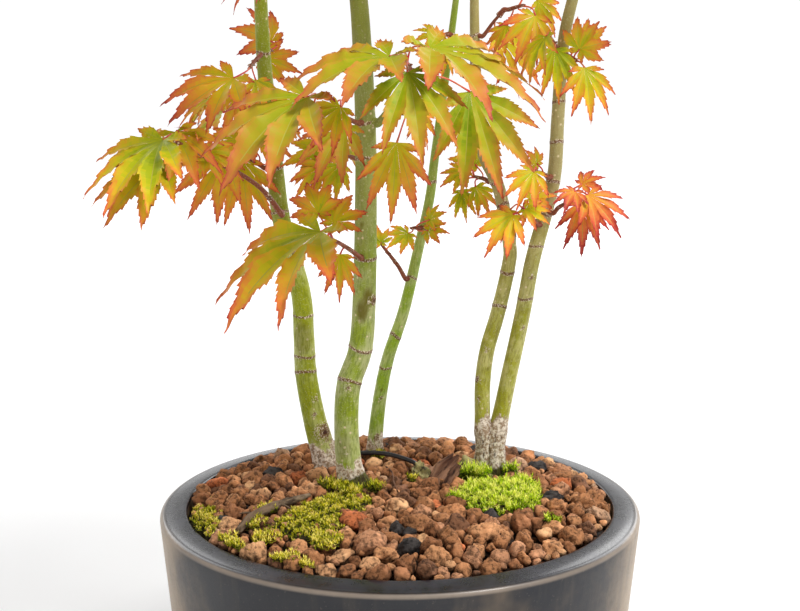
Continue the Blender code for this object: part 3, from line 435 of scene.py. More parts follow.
# %% Where things lie
MOSS_CUSHIONS = (
    # name, outline, height, length of a shoot and tone
    ("moss_front", ((-58, -50), (-50, -64), (-36, -67), (-27, -53), (-19, -30), (-13, -8), (-19, -1.5),
                    (-31, -2), (-41, -12), (-51, -28)), 2.8, 2.2, 1.9),
    ("moss_right", ((27, -3), (35, -27), (49, -33), (62, -27), (68, -7), (67, 11), (60, 21),
                    (52, 13), (40, 13), (31, 9)), 4.6, 3.5, 2.6),
    ("moss_left", ((-99, -8), (-96, -26), (-87, -49), (-81, -42), (-85, -26), (-91, -10)), 2.6, 2.3, 2.5),
)
# where single shoots stand: middle and radius, length of a shoot and height above the bed, and tone
MOSS_FLECKS = (
    (-50, -84, 7, 2.6, 3.0, 2.6), (-42, -91, 5, 2.6, 3.0, 2.6), (-79, -62, 8, 2.8, 3.0, 3.0),
    (-72, -72, 6, 2.8, 3.0, 3.0), (70, -42, 4, 2.4, 3.2, 2.0), (-34, 3, 6, 4.0, 3.0, 1.2),
    (-12, 0, 5, 3.8, 3.0, 1.0), (-24, -4, 6, 3.8, 3.0, 1.3), (33, 20, 5, 5.0, 4.0, 1.6),
    (40, 17, 5, 5.0, 4.6, 2.0), (55, 24, 4, 4.5, 4.0, 2.0), (6, 14, 3, 2.8, 3.4, 1.5),
    (-66, -46, 6, 2.6, 2.8, 1.8), (-32, -71, 7, 2.6, 3.0, 2.4), (-60, -62, 6, 2.6, 3.0, 2.6),
    (27, -14, 5, 3.4, 3.0, 1.8), (-62, -30, 5, 2.6, 2.8, 1.6), (-12, 54, 4, 2.8, 3.0, 1.6),
)
# lines of x, y and radius of the root, width of the wood, or height of the wire above the ground
ROOT_LINE = ((-73, -53, 1.0), (-68, -42, 1.5), (-60, -31, 1.6), (-52, -22, 1.5), (-43, -12, 1.2))
OLD_WOOD_LINE = ((8.5, 24.5), (13, 25), (19, 26.5), (25, 29), (29, 31))
WIRE_LINE = ((-25.5, 51.5, 0.2), (-25, 51, 2.4), (-22, 50.5, 4.0), (-12, 50, 4.6), (-3, 46.5, 4.2),
             (6, 41, 2.8), (8.4, 39.6, 1.2), (8.8, 39.3, 0.2))
STEM_FEET = ((-37, 45, 8.6), (-22, 10, 8.8), (-13, 62, 5.2), (45.2, 30, 8.4))


def inside(outline, x, y):
    """True where a point lies inside a closed outline."""
    found = False
    for (ax, ay), (bx, by) in zip(outline, outline[1:] + outline[:1]):
        if (ay > y) != (by > y) and x < ax + (bx - ax) * (y - ay) / (by - ay):
            found = not found
    return found


print("moss cushions:", [row[0] for row in MOSS_CUSHIONS])

# %% [markdown]
# ## Throwing the grit
# A lump is a ball of 642, 162 or 42 points, the finest for the large lumps in front. Eleven flats
# are cut on it and waves of four lengths push its points in and out. Copies of a few lumps would
# be lighter, but the eye finds the repeats, so each lump is its own, from a seed that stays.

# %% Lumps of grit
def ball(levels):
    """Points and triangles of a ball made by splitting an icosahedron."""
    g = (1 + 5 ** 0.5) / 2
    points = [(-1, g, 0), (1, g, 0), (-1, -g, 0), (1, -g, 0), (0, -1, g), (0, 1, g), (0, -1, -g),
              (0, 1, -g), (g, 0, -1), (g, 0, 1), (-g, 0, -1), (-g, 0, 1)]
    faces = [(0, 11, 5), (0, 5, 1), (0, 1, 7), (0, 7, 10), (0, 10, 11), (1, 5, 9), (5, 11, 4),
             (11, 10, 2), (10, 7, 6), (7, 1, 8), (3, 9, 4), (3, 4, 2), (3, 2, 6), (3, 6, 8), (3, 8, 9),
             (4, 9, 5), (2, 4, 11), (6, 2, 10), (8, 6, 7), (9, 8, 1)]
    points = [Vector(p).normalized() for p in points]
    for _ in range(levels):
        middles, finer = {}, []
        for a, b, c in faces:
            edge = []
            for pair in ((a, b), (b, c), (c, a)):
                key = (min(pair), max(pair))
                if key not in middles:
                    middles[key] = len(points)
                    points.append(((points[pair[0]] + points[pair[1]]) / 2).normalized())
                edge.append(middles[key])
            finer += [(a, edge[0], edge[2]), (b, edge[1], edge[0]), (c, edge[2], edge[1]), tuple(edge)]
        faces = finer
    return np.array([tuple(p) for p in points]), np.array(faces)


BALLS = {level: ball(level) for level in (1, 2, 3)}
FLATS = 11
LUMP_WAVES = ((2.6, 0.060), (5.5, 0.050), (10.0, 0.040), (16.0, 0.028))


def lump(rng, level):
    """A rough lump about 1 in radius: flats, a few dents and a pitted skin."""
    points, faces = BALLS[level]
    cuts = rng.normal(size=(FLATS, 3))
    cuts /= np.linalg.norm(cuts, axis=1)[:, None]
    along = np.maximum(points @ cuts.T, 0.05)
    push = np.minimum((rng.uniform(0.74, 1.0, size=FLATS) / along).min(axis=1), 1.14)
    for waves, size in LUMP_WAVES:
        for _ in range(3):
            direction = rng.normal(size=3) * waves
            push += size * np.sin(points @ direction + rng.uniform(0, 6.28)) * 0.75
    squeeze = rng.uniform(0.74, 1.18, size=3)
    squeeze /= squeeze.prod() ** (1 / 3)
    turn = np.linalg.qr(rng.normal(size=(3, 3)))[0]
    return (points * push[:, None] * squeeze) @ turn, faces


def throw(rng, sizes, taken, allowed, closeness=0.97):
    """Places for round lumps: a list of x, y, radius in metres, the largest first."""
    placed = list(taken)
    for radius, tries in sizes:
        for _ in range(tries):
            reach = (INNER_RADIUS - 0.0004 - radius * 1.04) * math.sqrt(rng.uniform())
            turn = rng.uniform(0, 2 * math.pi)
            x, y = reach * math.cos(turn), reach * math.sin(turn)
            size = radius * rng.uniform(0.86, 1.14)
            if not allowed(x, y, size):
                continue
            if placed:
                rest = np.array(placed)
                room = np.hypot(rest[:, 0] - x, rest[:, 1] - y) - closeness * (rest[:, 2] + size)
                if room.min() < 0:
                    continue
            placed.append((x, y, size))
    return placed[len(taken):]


CRUMB = 0.0028


def on_open_ground(x, y, size):
    """True where a lump lies clear of the stems and, but for a few crumbs, of the moss."""
    ring = [(0, 0)] + [(0.75 * math.cos(k), 0.75 * math.sin(k)) for k in range(6)]
    if any(inside(row[1], (x + size * a) / MM, (y + size * b) / MM) for a, b in ring
           for row in MOSS_CUSHIONS):
        return size < CRUMB and (x / MM * 1.7 + y / MM * 3.1) % 1.0 < 0.05
    return all(math.hypot(x - fx * MM, y - fy * MM) >= radius * MM + size * 0.72
               for fx, fy, radius in STEM_FEET)


def keep_off(line, room):
    """Places along a thing that lies on the ground, as taken circles."""
    return [((a[0] + (b[0] - a[0]) * share) * MM, (a[1] + (b[1] - a[1]) * share) * MM, room * MM)
            for a, b in zip(line, line[1:]) for share in (0, 0.25, 0.5, 0.75)]


# %% Throw the upper and the lower layer
# x, y, radius in millimetres and tone of a few large lumps that are placed one by one
BIG_LUMPS = ((-21, -42, 6.4, 6), (73, -8, 4.6, 9), (-14, -72, 6.6, 5), (38, -58, 6.2, 1), (8, -48, 5.6, 2),
             (-2, -24, 5.2, 3), (70, 42, 4.4, 9), (-64, 30, 4.0, 9))
SIZES = ((0.0050, 260), (0.0042, 900), (0.0036, 3000), (0.0030, 8000), (0.0024, 12000), (0.0018, 14000))
LOWER_SIZES = ((0.0042, 3000), (0.0034, 5000), (0.0027, 6000))
TONE_ODDS = (0.19, 0.17, 0.17, 0.10, 0.13, 0.12, 0.03, 0.08, 0.01)
CHARRED = 9
LOWER_DEPTH = 0.0056
rng = np.random.default_rng(41)
taken = keep_off(ROOT_LINE, 0.6) + keep_off(OLD_WOOD_LINE, 3.6) + keep_off(WIRE_LINE, 0.5)
taken += [(x * MM, y * MM, r * MM) for x, y, r, _ in BIG_LUMPS]
upper = throw(rng, SIZES, taken, on_open_ground)
lower = throw(rng, LOWER_SIZES, [], lambda x, y, size: True, 0.9)
print("lumps of grit:", len(upper), "on top,", len(lower), "below")

front_grit, back_grit = Heap(), Heap()
for x, y, size in upper:
    points, faces = lump(rng, 3 if size > 0.0041 and y < 0 else 2 if size > 0.0023 else 1)
    height = mound(x, y) + size * rng.uniform(-0.15, 0.45) + (0.0040 - size) * 0.35
    shade = int(rng.choice(CHARRED, p=TONE_ODDS))
    if rng.uniform() < 0.022:
        shade = CHARRED
    (front_grit if y < 0 else back_grit).add(points * size + (x, y, height), faces, shade)
for x, y, size, shade in BIG_LUMPS:
    points, faces = lump(rng, 3)
    x, y, size = x * MM, y * MM, size * MM
    points = points * (size * 1.12, size, size * 0.9)
    front_grit.add(points + (x, y, mound(x, y) + size * 0.30), faces, shade)
# The lower layer takes only the darker tones, as painted shade deep in the gaps.
for x, y, size in lower:
    points, faces = lump(rng, 1)
    back_grit.add(points * size + (x, y, mound(x, y) - LOWER_DEPTH), faces, int(rng.choice((4, 7, CHARRED))))
for name, heap, finishes in (("clay_grit_front", front_grit, grit_finishes),
                             ("clay_grit_back", back_grit, grit_finishes),
                             ("grit_bed", bed, [painted_shade_bed])):
    dress(heap.object(name, finishes), "grit", "soil")

# %% [markdown]
# ## Moss
# Each cushion is a low mound under a fur of tiny shoots, the upper leaves of each shoot painted a
# tone lighter and the lower a tone darker, as painted light and shade. Hair particles would be the
# usual way, but they don't export, so every shoot is a tuft of nine short leaves, one triangle
# each, dealt out in five plain greens: fresh ones for the cushion on the right, and browner ones
# for the older moss. A sixth tone is the mound's own.

# %% Moss finishes and shoots
GREENS = {
    "fresh": (srgb(62, 82, 16), srgb(110, 142, 18), srgb(160, 194, 22), srgb(208, 228, 44),
              srgb(240, 242, 118), srgb(46, 40, 20)),
    "old": (srgb(62, 62, 16), srgb(106, 114, 18), srgb(164, 170, 24), srgb(214, 202, 44),
            srgb(240, 226, 112), srgb(46, 40, 20)),
}
SHOOTS_PER_MM2 = 1.25
MOUND_TONE = 5
HALF_LEAF = 0.00030
BATCH = 3000
moss_finishes = {age: [finish("%s_moss_%d" % (age, k), colour=tone, roughness=0.85, specular=0.2)
                       for k, tone in enumerate(greens)] for age, greens in GREENS.items()}


def shoots(heap, rng, places, lengths, tones, first=0):
    """Adds a tuft of nine short leaves, in three tiers of three, at each place."""
    tier = np.repeat((0.0, 0.35, 0.62), 3)
    fan = np.arange(9) * 2 * math.pi / 3 + tier * 2.2
    for start in range(0, len(places), BATCH):
        part = slice(start, start + BATCH)
        number = len(places[part])
        turn = rng.uniform(0, 6.28, size=(number, 1)) + fan + rng.normal(0, 0.25, size=(number, 9))
        lean = (1.30 - 0.95 * tier) * rng.uniform(0.7, 1.2, size=(number, 9))
        size = lengths[part, None] * rng.uniform(0.7, 1.3, size=(number, 1)) * np.ones(9)
        ahead = np.stack([np.cos(turn) * np.sin(lean), np.sin(turn) * np.sin(lean), np.cos(lean)], axis=2)
        side = np.stack([-np.sin(turn), np.cos(turn), np.zeros_like(turn)], axis=2) * HALF_LEAF
        up = np.array([0, 0, 1.0]) + rng.normal(0, 0.22, size=(number, 1, 3))
        root = places[part][:, None, :] + up * (tier * size)[:, :, None]
        points = np.stack([root - side, root + side, root + ahead * (size * 0.62)[:, :, None]], axis=2)
        # Painted light and shade: the top tier of each tuft is a tone lighter, the lowest a tone darker.
        paint = tones[part, None] + np.repeat((-1, 0, 1), 3) + rng.normal(0, 0.7, size=(number, 9))
        heap.add(points.reshape(-1, 3), np.arange(number * 27).reshape(-1, 3),
                 first + np.clip(paint.round(), 0, 4).astype(int).ravel())


def moss_tones(rng, x, y, bias):
    """Moss grows in patches, each its own green: from dark and shaded to yellow and pale."""
    patch = np.sin(x * 0.36 + bias * 5) * np.sin(y * 0.31 + 0.8)
    patch = patch + 0.6 * np.sin(x * 1.15) * np.sin(y * 0.95 + 2)
    return np.clip(bias + 1.2 * patch + rng.normal(0, 0.8, len(x)), 0, 4)


# %% Grow the cushions
def ragged(outline, x, y):
    """True inside an outline whose edge has been worn ragged."""
    return inside(outline, x + 2.2 * math.sin(y * 0.9) + 1.2 * math.sin(y * 2.3),
                  y + 2.2 * math.sin(x * 0.8 + 1) + 1.2 * math.sin(x * 2.1))


def cushion_height(outline, x, y, height):
    """Height of a cushion: nothing at its outline, rounding up to its full height inside."""
    best = np.full(len(x), 1e9)
    for (ax, ay), (bx, by) in zip(outline, outline[1:] + outline[:1]):
        length = (bx - ax) ** 2 + (by - ay) ** 2
        share = np.clip(((x - ax) * (bx - ax) + (y - ay) * (by - ay)) / length, 0, 1)
        best = np.minimum(best, np.hypot(x - ax - share * (bx - ax), y - ay - share * (by - ay)))
    lumps = 0.75 + 0.25 * np.sin(x * 0.55 + 1.3) * np.sin(y * 0.48 + 0.4)
    lumps = lumps + 0.12 * np.sin(x * 1.7) * np.sin(y * 1.5)
    return height * (1 - np.exp(-best / 4.5)) * lumps


def on_mound(x, y, lift):
    """Places at a lift above the ground, all in millimetres."""
    return np.column_stack([x * MM, y * MM, mound(x * MM, y * MM) + lift * MM])


def moss_cushion(outline, height, fur, bias, seed):
    """Shoots over an outline, and the mound of 1.5 mm squares that they stand on."""
    rng = np.random.default_rng(seed)
    heap = Heap()
    low, high = np.min(outline, axis=0), np.max(outline, axis=0)
    tries = rng.uniform(low, high, size=(int(np.prod(high - low) * SHOOTS_PER_MM2), 2))
    x, y = np.array([p for p in tries if ragged(outline, *p)]).T
    thick = np.sin(x * 0.41 + seed) * np.sin(y * 0.37) + rng.uniform(-1, 1, len(x)) > -0.75
    x, y = x[thick], y[thick]
    tall = 0.75 + 0.35 * np.sin(x * 0.7 + 2) * np.sin(y * 0.6)
    shoots(heap, rng, on_mound(x, y, cushion_height(outline, x, y, height) + 0.9), fur * MM * tall,
           moss_tones(rng, x, y, bias))
    step = 1.5
    nx, ny = ((high - low) / step).astype(int) + 2
    gx, gy = np.meshgrid(low[0] + np.arange(nx) * step, low[1] + np.arange(ny) * step, indexing="ij")
    x, y = gx.ravel(), gy.ravel()
    within = np.array([ragged(outline, *p) for p in zip(x, y)])
    index = np.arange(nx * ny).reshape(nx, ny)
    cells = np.stack([index[:-1, :-1], index[1:, :-1], index[1:, 1:], index[:-1, 1:]], axis=2).reshape(-1, 4)
    lift = np.where(within, cushion_height(outline, x, y, height) + 0.8, -4.0)
    heap.add(on_mound(x, y, lift), cells[within[cells].any(axis=1)], MOUND_TONE)
    return heap


for number, (name, *cushion) in enumerate(MOSS_CUSHIONS):
    greens = moss_finishes["fresh" if name == "moss_right" else "old"]
    dress(moss_cushion(*cushion, 60 + number).object(name + "_cushion", greens), "moss", name)

# %% Flecks of moss between the lumps
rng = np.random.default_rng(77)
heap = Heap()
for x, y, radius, fur, rise, bias in MOSS_FLECKS:
    turn = rng.uniform(0, 6.28, size=int(radius * radius * 2.4))
    reach = radius * rng.uniform(size=len(turn)) ** 0.7
    px, py = x + reach * np.cos(turn), y + reach * np.sin(turn)
    near = np.hypot(px, py) < INNER_RADIUS / MM - 2
    px, py = px[near], py[near]
    tones = moss_tones(rng, px, py, bias)
    shoots(heap, rng, on_mound(px, py, rise), np.full(len(px), fur * MM), tones, 5 if x > 20 else 0)
dress(heap.object("moss_flecks", moss_finishes["old"][:5] + moss_finishes["fresh"][:5]), "moss")

# %% [markdown]
# ## Limbs
# A stem, a bough, a twig and a leaf stalk are all the same thing: a round section carried along a
# line. A curve with a bevel would do it in one line, but then the bark can't be shaped. So one
# helper sweeps rings of points along a line, keeps them from twisting, and lets a function of the
# place along and around the limb push each point in or out.

# %% Sweep a limb
def curve_through(bends, parts=0, step=1.0):
    """A curve through places, with so many parts between two, or cut at about even steps."""
    bends = [Vector(p) for p in bends]
    ends = [bends[0] * 2 - bends[1]] + bends + [bends[-1] * 2 - bends[-2]]
    line = []
    for p, q, r, s in zip(ends, ends[1:], ends[2:], ends[3:]):
        cuts = parts or max(1, round((r - q).length / step))
        square, cube = 2 * p - 5 * q + 4 * r - s, 3 * q - p - 3 * r + s
        for k in range(cuts):
            t = k / cuts
            line.append(0.5 * (2 * q + (r - p) * t + square * t * t + cube * t ** 3))
    return line + [bends[-1].copy()]


def heading_of(line):
    """The direction of a line at each of its cuts."""
    ahead = np.gradient(line, axis=0)
    return ahead / np.linalg.norm(ahead, axis=1)[:, None]


def run_of(line):
    """The distance of each cut from the start of a line."""
    return np.concatenate([[0], np.cumsum(np.linalg.norm(np.diff(line, axis=0), axis=1))])


def skin(line, ahead, side, reach):
    """Points round a line, and the way out from the line at each."""
    up = np.cross(ahead, side)
    around = circle(reach.shape[1])
    out = side[:, None, :] * np.cos(around)[:, None] + up[:, None, :] * np.sin(around)[:, None]
    return (line[:, None, :] + out * reach[:, :, None]).reshape(-1, 3), out.reshape(-1, 3)


def unrolled(around, radii, along):
    """A place on a limb's skin, squeezed along it, so that a pattern runs lengthways."""
    return np.stack(np.broadcast_arrays(np.cos(around) * radii, np.sin(around) * radii, along), axis=-1)


def closed_tube(heap, points, sides, paint=0, **layers):
    """Adds rings of points as a tube with both its ends closed."""
    first = heap.count
    heap.add(points, ring_faces(len(points) // sides, sides), paint, **layers)
    heap.cap(first, -sides, paint)
    heap.cap(heap.count - sides, sides, paint)


def sweep(heap, line, radii, sides, relief=None, paint=0, marks=None):
    """Adds a limb through a line of places. relief(along, around) is a share of the radius."""
    line, radii = np.asarray([tuple(p) for p in line]), np.asarray(radii)
    ahead = heading_of(line)
    side, sides_of = np.cross(ahead[0], (0.31, 0.95, 0.02)), []
    for direction in ahead:
        side = side - direction * side.dot(direction)
        side /= np.linalg.norm(side)
        sides_of.append(side)
    along, around = run_of(line), circle(sides)
    reach = radii[:, None] * np.ones(sides)
    if relief is not None:
        reach = reach * (1 + relief(along[:, None], around[None, :]))
    points, _ = skin(line, ahead, np.array(sides_of), reach)
    layers = {}
    if marks:
        layers = marks(np.repeat(along, sides), np.tile(around, len(line)), np.repeat(radii, sides))
    closed_tube(heap, points, sides, paint, **layers)


def waves(rng, count, scale):
    """A seeded sum of sines over place along (in metres) and around a limb."""
    rows = [(rng.integers(1, 5), rng.uniform(0.3, 1.0) * scale, rng.uniform(0, 6.28), rng.uniform(0, 6.28))
            for _ in range(count)]
    return lambda along, around: sum(np.sin(n * around + p) * np.sin(along * k + q)
                                     for n, k, p, q in rows) / count


# %% [markdown]
# ## What lies on the ground: root, old wood and wire
# The bare root is grey and flaking, the old wood is a few dark splintered chips and mossy knobs,
# and the wire is the end of the tie that holds the root ball: a stiff, blue-black round wire with
# a soft shine. Chips could be cut planks, but a ball that is flattened, hollowed and furrowed
# tears in the way that old wood does.

# %% Root
UP = Vector((0, 0, 1))


def millimetres(point):
    return Vector(point) * MM


def bark_finish(name, low, high, crack, grain_scale=160):
    """Rough bark or old wood: two tones broken by dark cracks that run along it."""
    made = finish(name, roughness=0.9, specular=0.2)
    place = Shade(made.node_tree).layer("grain", 1)
    fibre = place.noise(grain_scale, 6, 0.7)
    colour = place.noise(grain_scale * 0.3, 3).ramp(0.40, 0.62).mix(low, high)
    feed(made, base_color=fibre.ramp(0.52, 0.36).mix(colour, crack), normal=fibre.bump(0.9, 0.0012))
    return made


def grain_marks(along, around, radii):
    return {"grain": unrolled(around, radii, along * 0.25)}


root_bark = bark_finish("root_bark", srgb(112, 92, 72), srgb(168, 148, 122), srgb(58, 44, 34))
dark_wood = bark_finish("weathered_wood", srgb(72, 44, 32), srgb(150, 112, 88), srgb(28, 18, 14), 420)
mossy_wood = bark_finish("mossy_wood", srgb(96, 88, 50), srgb(170, 160, 110), srgb(28, 24, 16), 240)
rng = np.random.default_rng(9)
root_line = curve_through([on_mound(x, y, r + 3.2)[0] for x, y, r in ROOT_LINE], 12)
share = np.minimum(1, 0.15 + 0.85 * np.arange(len(root_line)) / len(root_line))
rough = waves(rng, 9, 900)
heap = Heap()
sweep(heap, root_line, (0.8 + 1.3 * np.sin(math.pi * share).clip(0) ** 0.7) * MM, 16,
      lambda along, around: 0.22 * rough(along, around), marks=grain_marks)
for share, heading, length in ((0.32, 150, 9), (0.62, -30, 7), (0.80, 140, 6)):
    place = root_line[int(share * (len(root_line) - 1))]
    turn = math.radians(heading)
    end = place + Vector((math.cos(turn), math.sin(turn), -0.12)) * length * MM
    side_line = curve_through([place, place.lerp(end, 0.5) + UP * 0.0006, end], 6)
    sweep(heap, side_line, np.linspace(0.0008, 0.0003, len(side_line)), 8, marks=grain_marks)
dress(heap.object("bare_root", [root_bark]), "cork", "surface_root")

# %% Old wood, wire and a dry strand
CHIPS = (
    # low end, high end, half width, half thickness, roll, which finish
    ((14, 12, 104), (28.0, 20, 118), 4.8, 1.2, 40, 0), ((21, 9, 104), (29.5, 17, 114), 2.4, 1.0, 70, 0),
    ((8, 24, 104), (20, 30, 108), 3.4, 2.2, 10, 0), ((17, 13, 104), (24, 20, 113.5), 1.6, 0.9, 20, 0),
    ((24, 15, 104), (30, 22, 111.5), 1.5, 1.0, 50, 1),
)
KNOBS = (
    # middle, half sizes in millimetres
    ((10.5, 19.5, 108.0), (4.6, 4.2, 5.0)), ((33.0, 27.0, 109.5), (4.6, 4.4, 5.8)),
    ((37.5, 21.0, 107.0), (4.2, 3.8, 4.0)), ((43.0, 18.5, 106.0), (3.8, 3.2, 3.6)),
)
STRAND = ((-7, 35, 107.5), (-4, 22, 108.8), (-3, 8, 108.2), (-1, -2, 106.8))
WIRE_RADIUS = 0.00115


def chip(heap, rng, low, high, width, thickness, roll, paint):
    """A splintered flake of wood from a low to a high place: flat faces, a torn end and furrows."""
    points, faces = BALLS[3]
    x, y, z = (np.sign(points) * np.abs(points) ** 0.55).T
    low, high, width, thickness = millimetres(low), millimetres(high), width * MM, thickness * MM
    ahead = (high - low).normalized()
    side = Matrix.Rotation(math.radians(roll), 3, ahead) @ ahead.cross(UP).normalized()
    furrow = sum(np.sin(y * k + rng.uniform(0, 6)) for k in (4, 7, 11)) * 0.07
    torn = 1 + 0.16 * np.sin(y * 6 + rng.uniform(0, 6)) * (np.abs(x) > 0.5)
    narrow = 1 - 0.35 * x * x + 0.12 * np.sin(x * 5 + rng.uniform(0, 6))
    deep = z * (1 + furrow) + 0.5 * y * y - 0.25 + 0.2 * np.sin(x * 3)
    half = (high - low).length / 2
    shares = np.stack([x * torn * half, y * narrow * width, deep * thickness], axis=1)
    grain = np.stack([y * width, z * thickness, x * half * 0.25], axis=1) + rng.uniform(0, 1, 3)
    heap.add(np.array((low + high) / 2) + shares @ np.array([ahead, side, ahead.cross(side)]), faces, paint,
             grain=grain)


heap = Heap()
for row in CHIPS:
    chip(heap, rng, *row)
for middle, half in KNOBS:
    points, faces = lump(rng, 3)
    points = points * (1 + 0.10 * np.sin(points[:, 2:3] * 9 + points[:, :1] * 4)) * half
    heap.add((points + middle) * MM, faces, 1, grain=points * MM + rng.uniform(0, 1, 3))
dress(heap.object("old_wood_chips", [dark_wood, mossy_wood]), "old_wood", "old_wood")

wire_coat = finish("wire_coating", colour=srgb(30, 32, 40), roughness=0.38, coat=0.3)
scuff = Shade(wire_coat.node_tree).place().noise(700, 3)
feed(wire_coat, base_color=scuff.ramp(0.55, 0.8).mix(srgb(24, 26, 34), srgb(70, 72, 82)))
heap = Heap()
wire_line = curve_through([(x * MM, y * MM, SOIL_LEVEL + (z + 1.6) * MM) for x, y, z in WIRE_LINE], 10)
sweep(heap, wire_line, np.full(len(wire_line), WIRE_RADIUS), 20)
dress(heap.object("tie_wire_end", [wire_coat]), "wire", "tie_wire")
heap = Heap()
strand = curve_through([millimetres(p) for p in STRAND], 8)
sweep(heap, strand, np.linspace(0.00045, 0.00028, len(strand)), 8, marks=grain_marks)
dress(heap.object("dry_strand", [dark_wood]), "old_wood")

# %% [markdown]
# ## Where the stems run
# Each stem rises through a few bends, listed in millimetres from the ground up, with its radii at
# the ground, above the root flare and at its tip. A curve through the bends gives a natural sway;
# joining the bends with straight pieces would be shorter, but young maple wood never kinks.

# %% Stem tables
GAP = 0.0003
GROUND = (SOIL_LEVEL + GAP) / MM
FORK = 134.3
FLARE_RUN = 0.007
NODE_SWELL = 1.10
STEM_STEP = 0.021
STEMS = (
    # name; radius at the ground, above the flare and at the tip; how late it tapers; bends; nodes
    ("stem_a", 8.6, 6.0, 1.3, 1.05,
     ((-37, 45, GROUND), (-38.5, 45, 111), (-43, 46, 127), (-47.5, 47.5, 152), (-48.5, 49, 172),
      (-50, 50, 195), (-59, 52, 230), (-62, 53, 256), (-66, 56, 296), (-68, 58, 338),
      (-68, 62, 398), (-67, 65, 445), (-72, 70, 492)), (162, 182, 235, 257, 313)),
    ("stem_b", 8.8, 6.0, 1.4, 1.5,
     ((-22, 10, GROUND), (-25, 9, 118), (-26, 9, 140), (-24.5, 8, 158), (-19, 8, 175), (-17, 7, 200),
      (-16, 5, 245), (-16, 4, 282), (-18, 2, 330), (-22, -1, 380), (-18, -5, 430), (-10, -5, 490),
      (-14, 0, 540)), (163, 176, 220, 267, 284)),
    ("stem_c", 5.2, 3.9, 1.1, 0.8,
     ((-13, 62, GROUND), (-12.5, 62.5, 118), (-10, 65, 138), (-6, 66, 157), (2, 68, 181), (9, 70, 211),
      (15, 72, 238), (18, 74, 262), (26, 78, 322), (31, 82, 362), (36, 86, 404)),
     (151, 167, 197, 224, 248)),
    ("stem_d", 3.9, 3.9, 1.1, 1.3,
     ((41, 30, FORK), (41, 31, 152), (43, 31, 169), (48, 32, 187), (53, 33, 210), (53.5, 34, 222),
      (48, 35, 249), (40, 36, 267), (37, 37, 295), (35.5, 39, 335), (36, 43, 380), (28, 50, 432)),
     (191, 207, 226, 312)),
    ("stem_e", 4.3, 4.0, 1.1, 1.5,
     ((49.8, 30, FORK), (54, 29, 157), (60, 28, 188), (64, 27, 213), (70, 26, 238), (74, 25, 258),
      (75, 24, 285), (77, 22, 322), (85, 20, 360), (92, 19, 408), (91, 24, 474)),
     (197, 222, 238, 254, 273, 314)),
)
AXES = {}
print(len(STEMS), "stems")

# %% Lines through bends
def cut_at(line, level):
    """Puts a cut of the line at a level, in place of one that is near to it."""
    for i, (below, above) in enumerate(zip(line, line[1:])):
        if below.z < level <= above.z:
            spot = below.lerp(above, (level - below.z) / (above.z - below.z))
            if i > 0 and level - below.z < STEM_STEP * 0.3:
                line[i] = spot
            elif i + 1 < len(line) - 1 and above.z - level < STEM_STEP * 0.3:
                line[i + 1] = spot
            else:
                line.insert(i + 1, spot)
            return


def radius_at(height, line, ground, low, tip, late):
    """Radius of a stem in millimetres at a height in metres."""
    foot, top = line[0][2], line[-1][2]
    share = (height - foot) / (top - foot)
    return tip + (low - tip) * (1 - share ** late) + (ground - low) * np.exp(-(height - foot) / FLARE_RUN)


def along_path(rows, share):
    """The place at a share of the length of a limb."""
    spans = [(b[0] - a[0]).length for a, b in zip(rows, rows[1:])]
    want = share * sum(spans)
    for (a, _), (b, _), span in zip(rows, rows[1:], spans):
        if want <= span:
            return a.lerp(b, want / span)
        want -= span
    return rows[-1][0].copy()


def axis_at(limb, at):
    """Centre and radius of a limb at a height in millimetres, or at a share of its length up to 1."""
    rows = AXES[limb]
    if at <= 1:
        return along_path(rows, at), rows[-1][1] if at == 1 else rows[len(rows) // 2][1]
    for (low, low_radius), (high, high_radius) in zip(rows, rows[1:]):
        if low.z <= at * MM <= high.z:
            share = (at * MM - low.z) / (high.z - low.z)
            return low.lerp(high, share), low_radius * (1 - share) + high_radius * share
    return rows[-1]


for name, *sizes, bends, nodes in STEMS:
    line = curve_through([millimetres(b) for b in bends], step=STEM_STEP)
    for height in nodes:
        cut_at(line, height * MM)
    swell = [NODE_SWELL if any(abs(spot.z - n * MM) < 0.0005 for n in nodes) else 1.0 for spot in line]
    AXES[name] = [(spot, float(radius_at(spot.z, line, *sizes)) * more * MM)
                  for spot, more in zip(line, swell)]

# %% [markdown]
# ## Bark
# Young maple bark is smooth, green and waxy, with fine streaks along it. Each year's bud scales
# leave a dark, dashed ring, the pores are pale dots, and near the ground old bark turns into
# pinkish grey cork with dark cracks. Painting this by hand isn't open to a mesh made in code, so
# each point of a limb carries four numbers, `ring`, `cork`, `damp` and `stain`, and a place on
# its unrolled skin, `grain`, and one graph of nodes reads them.

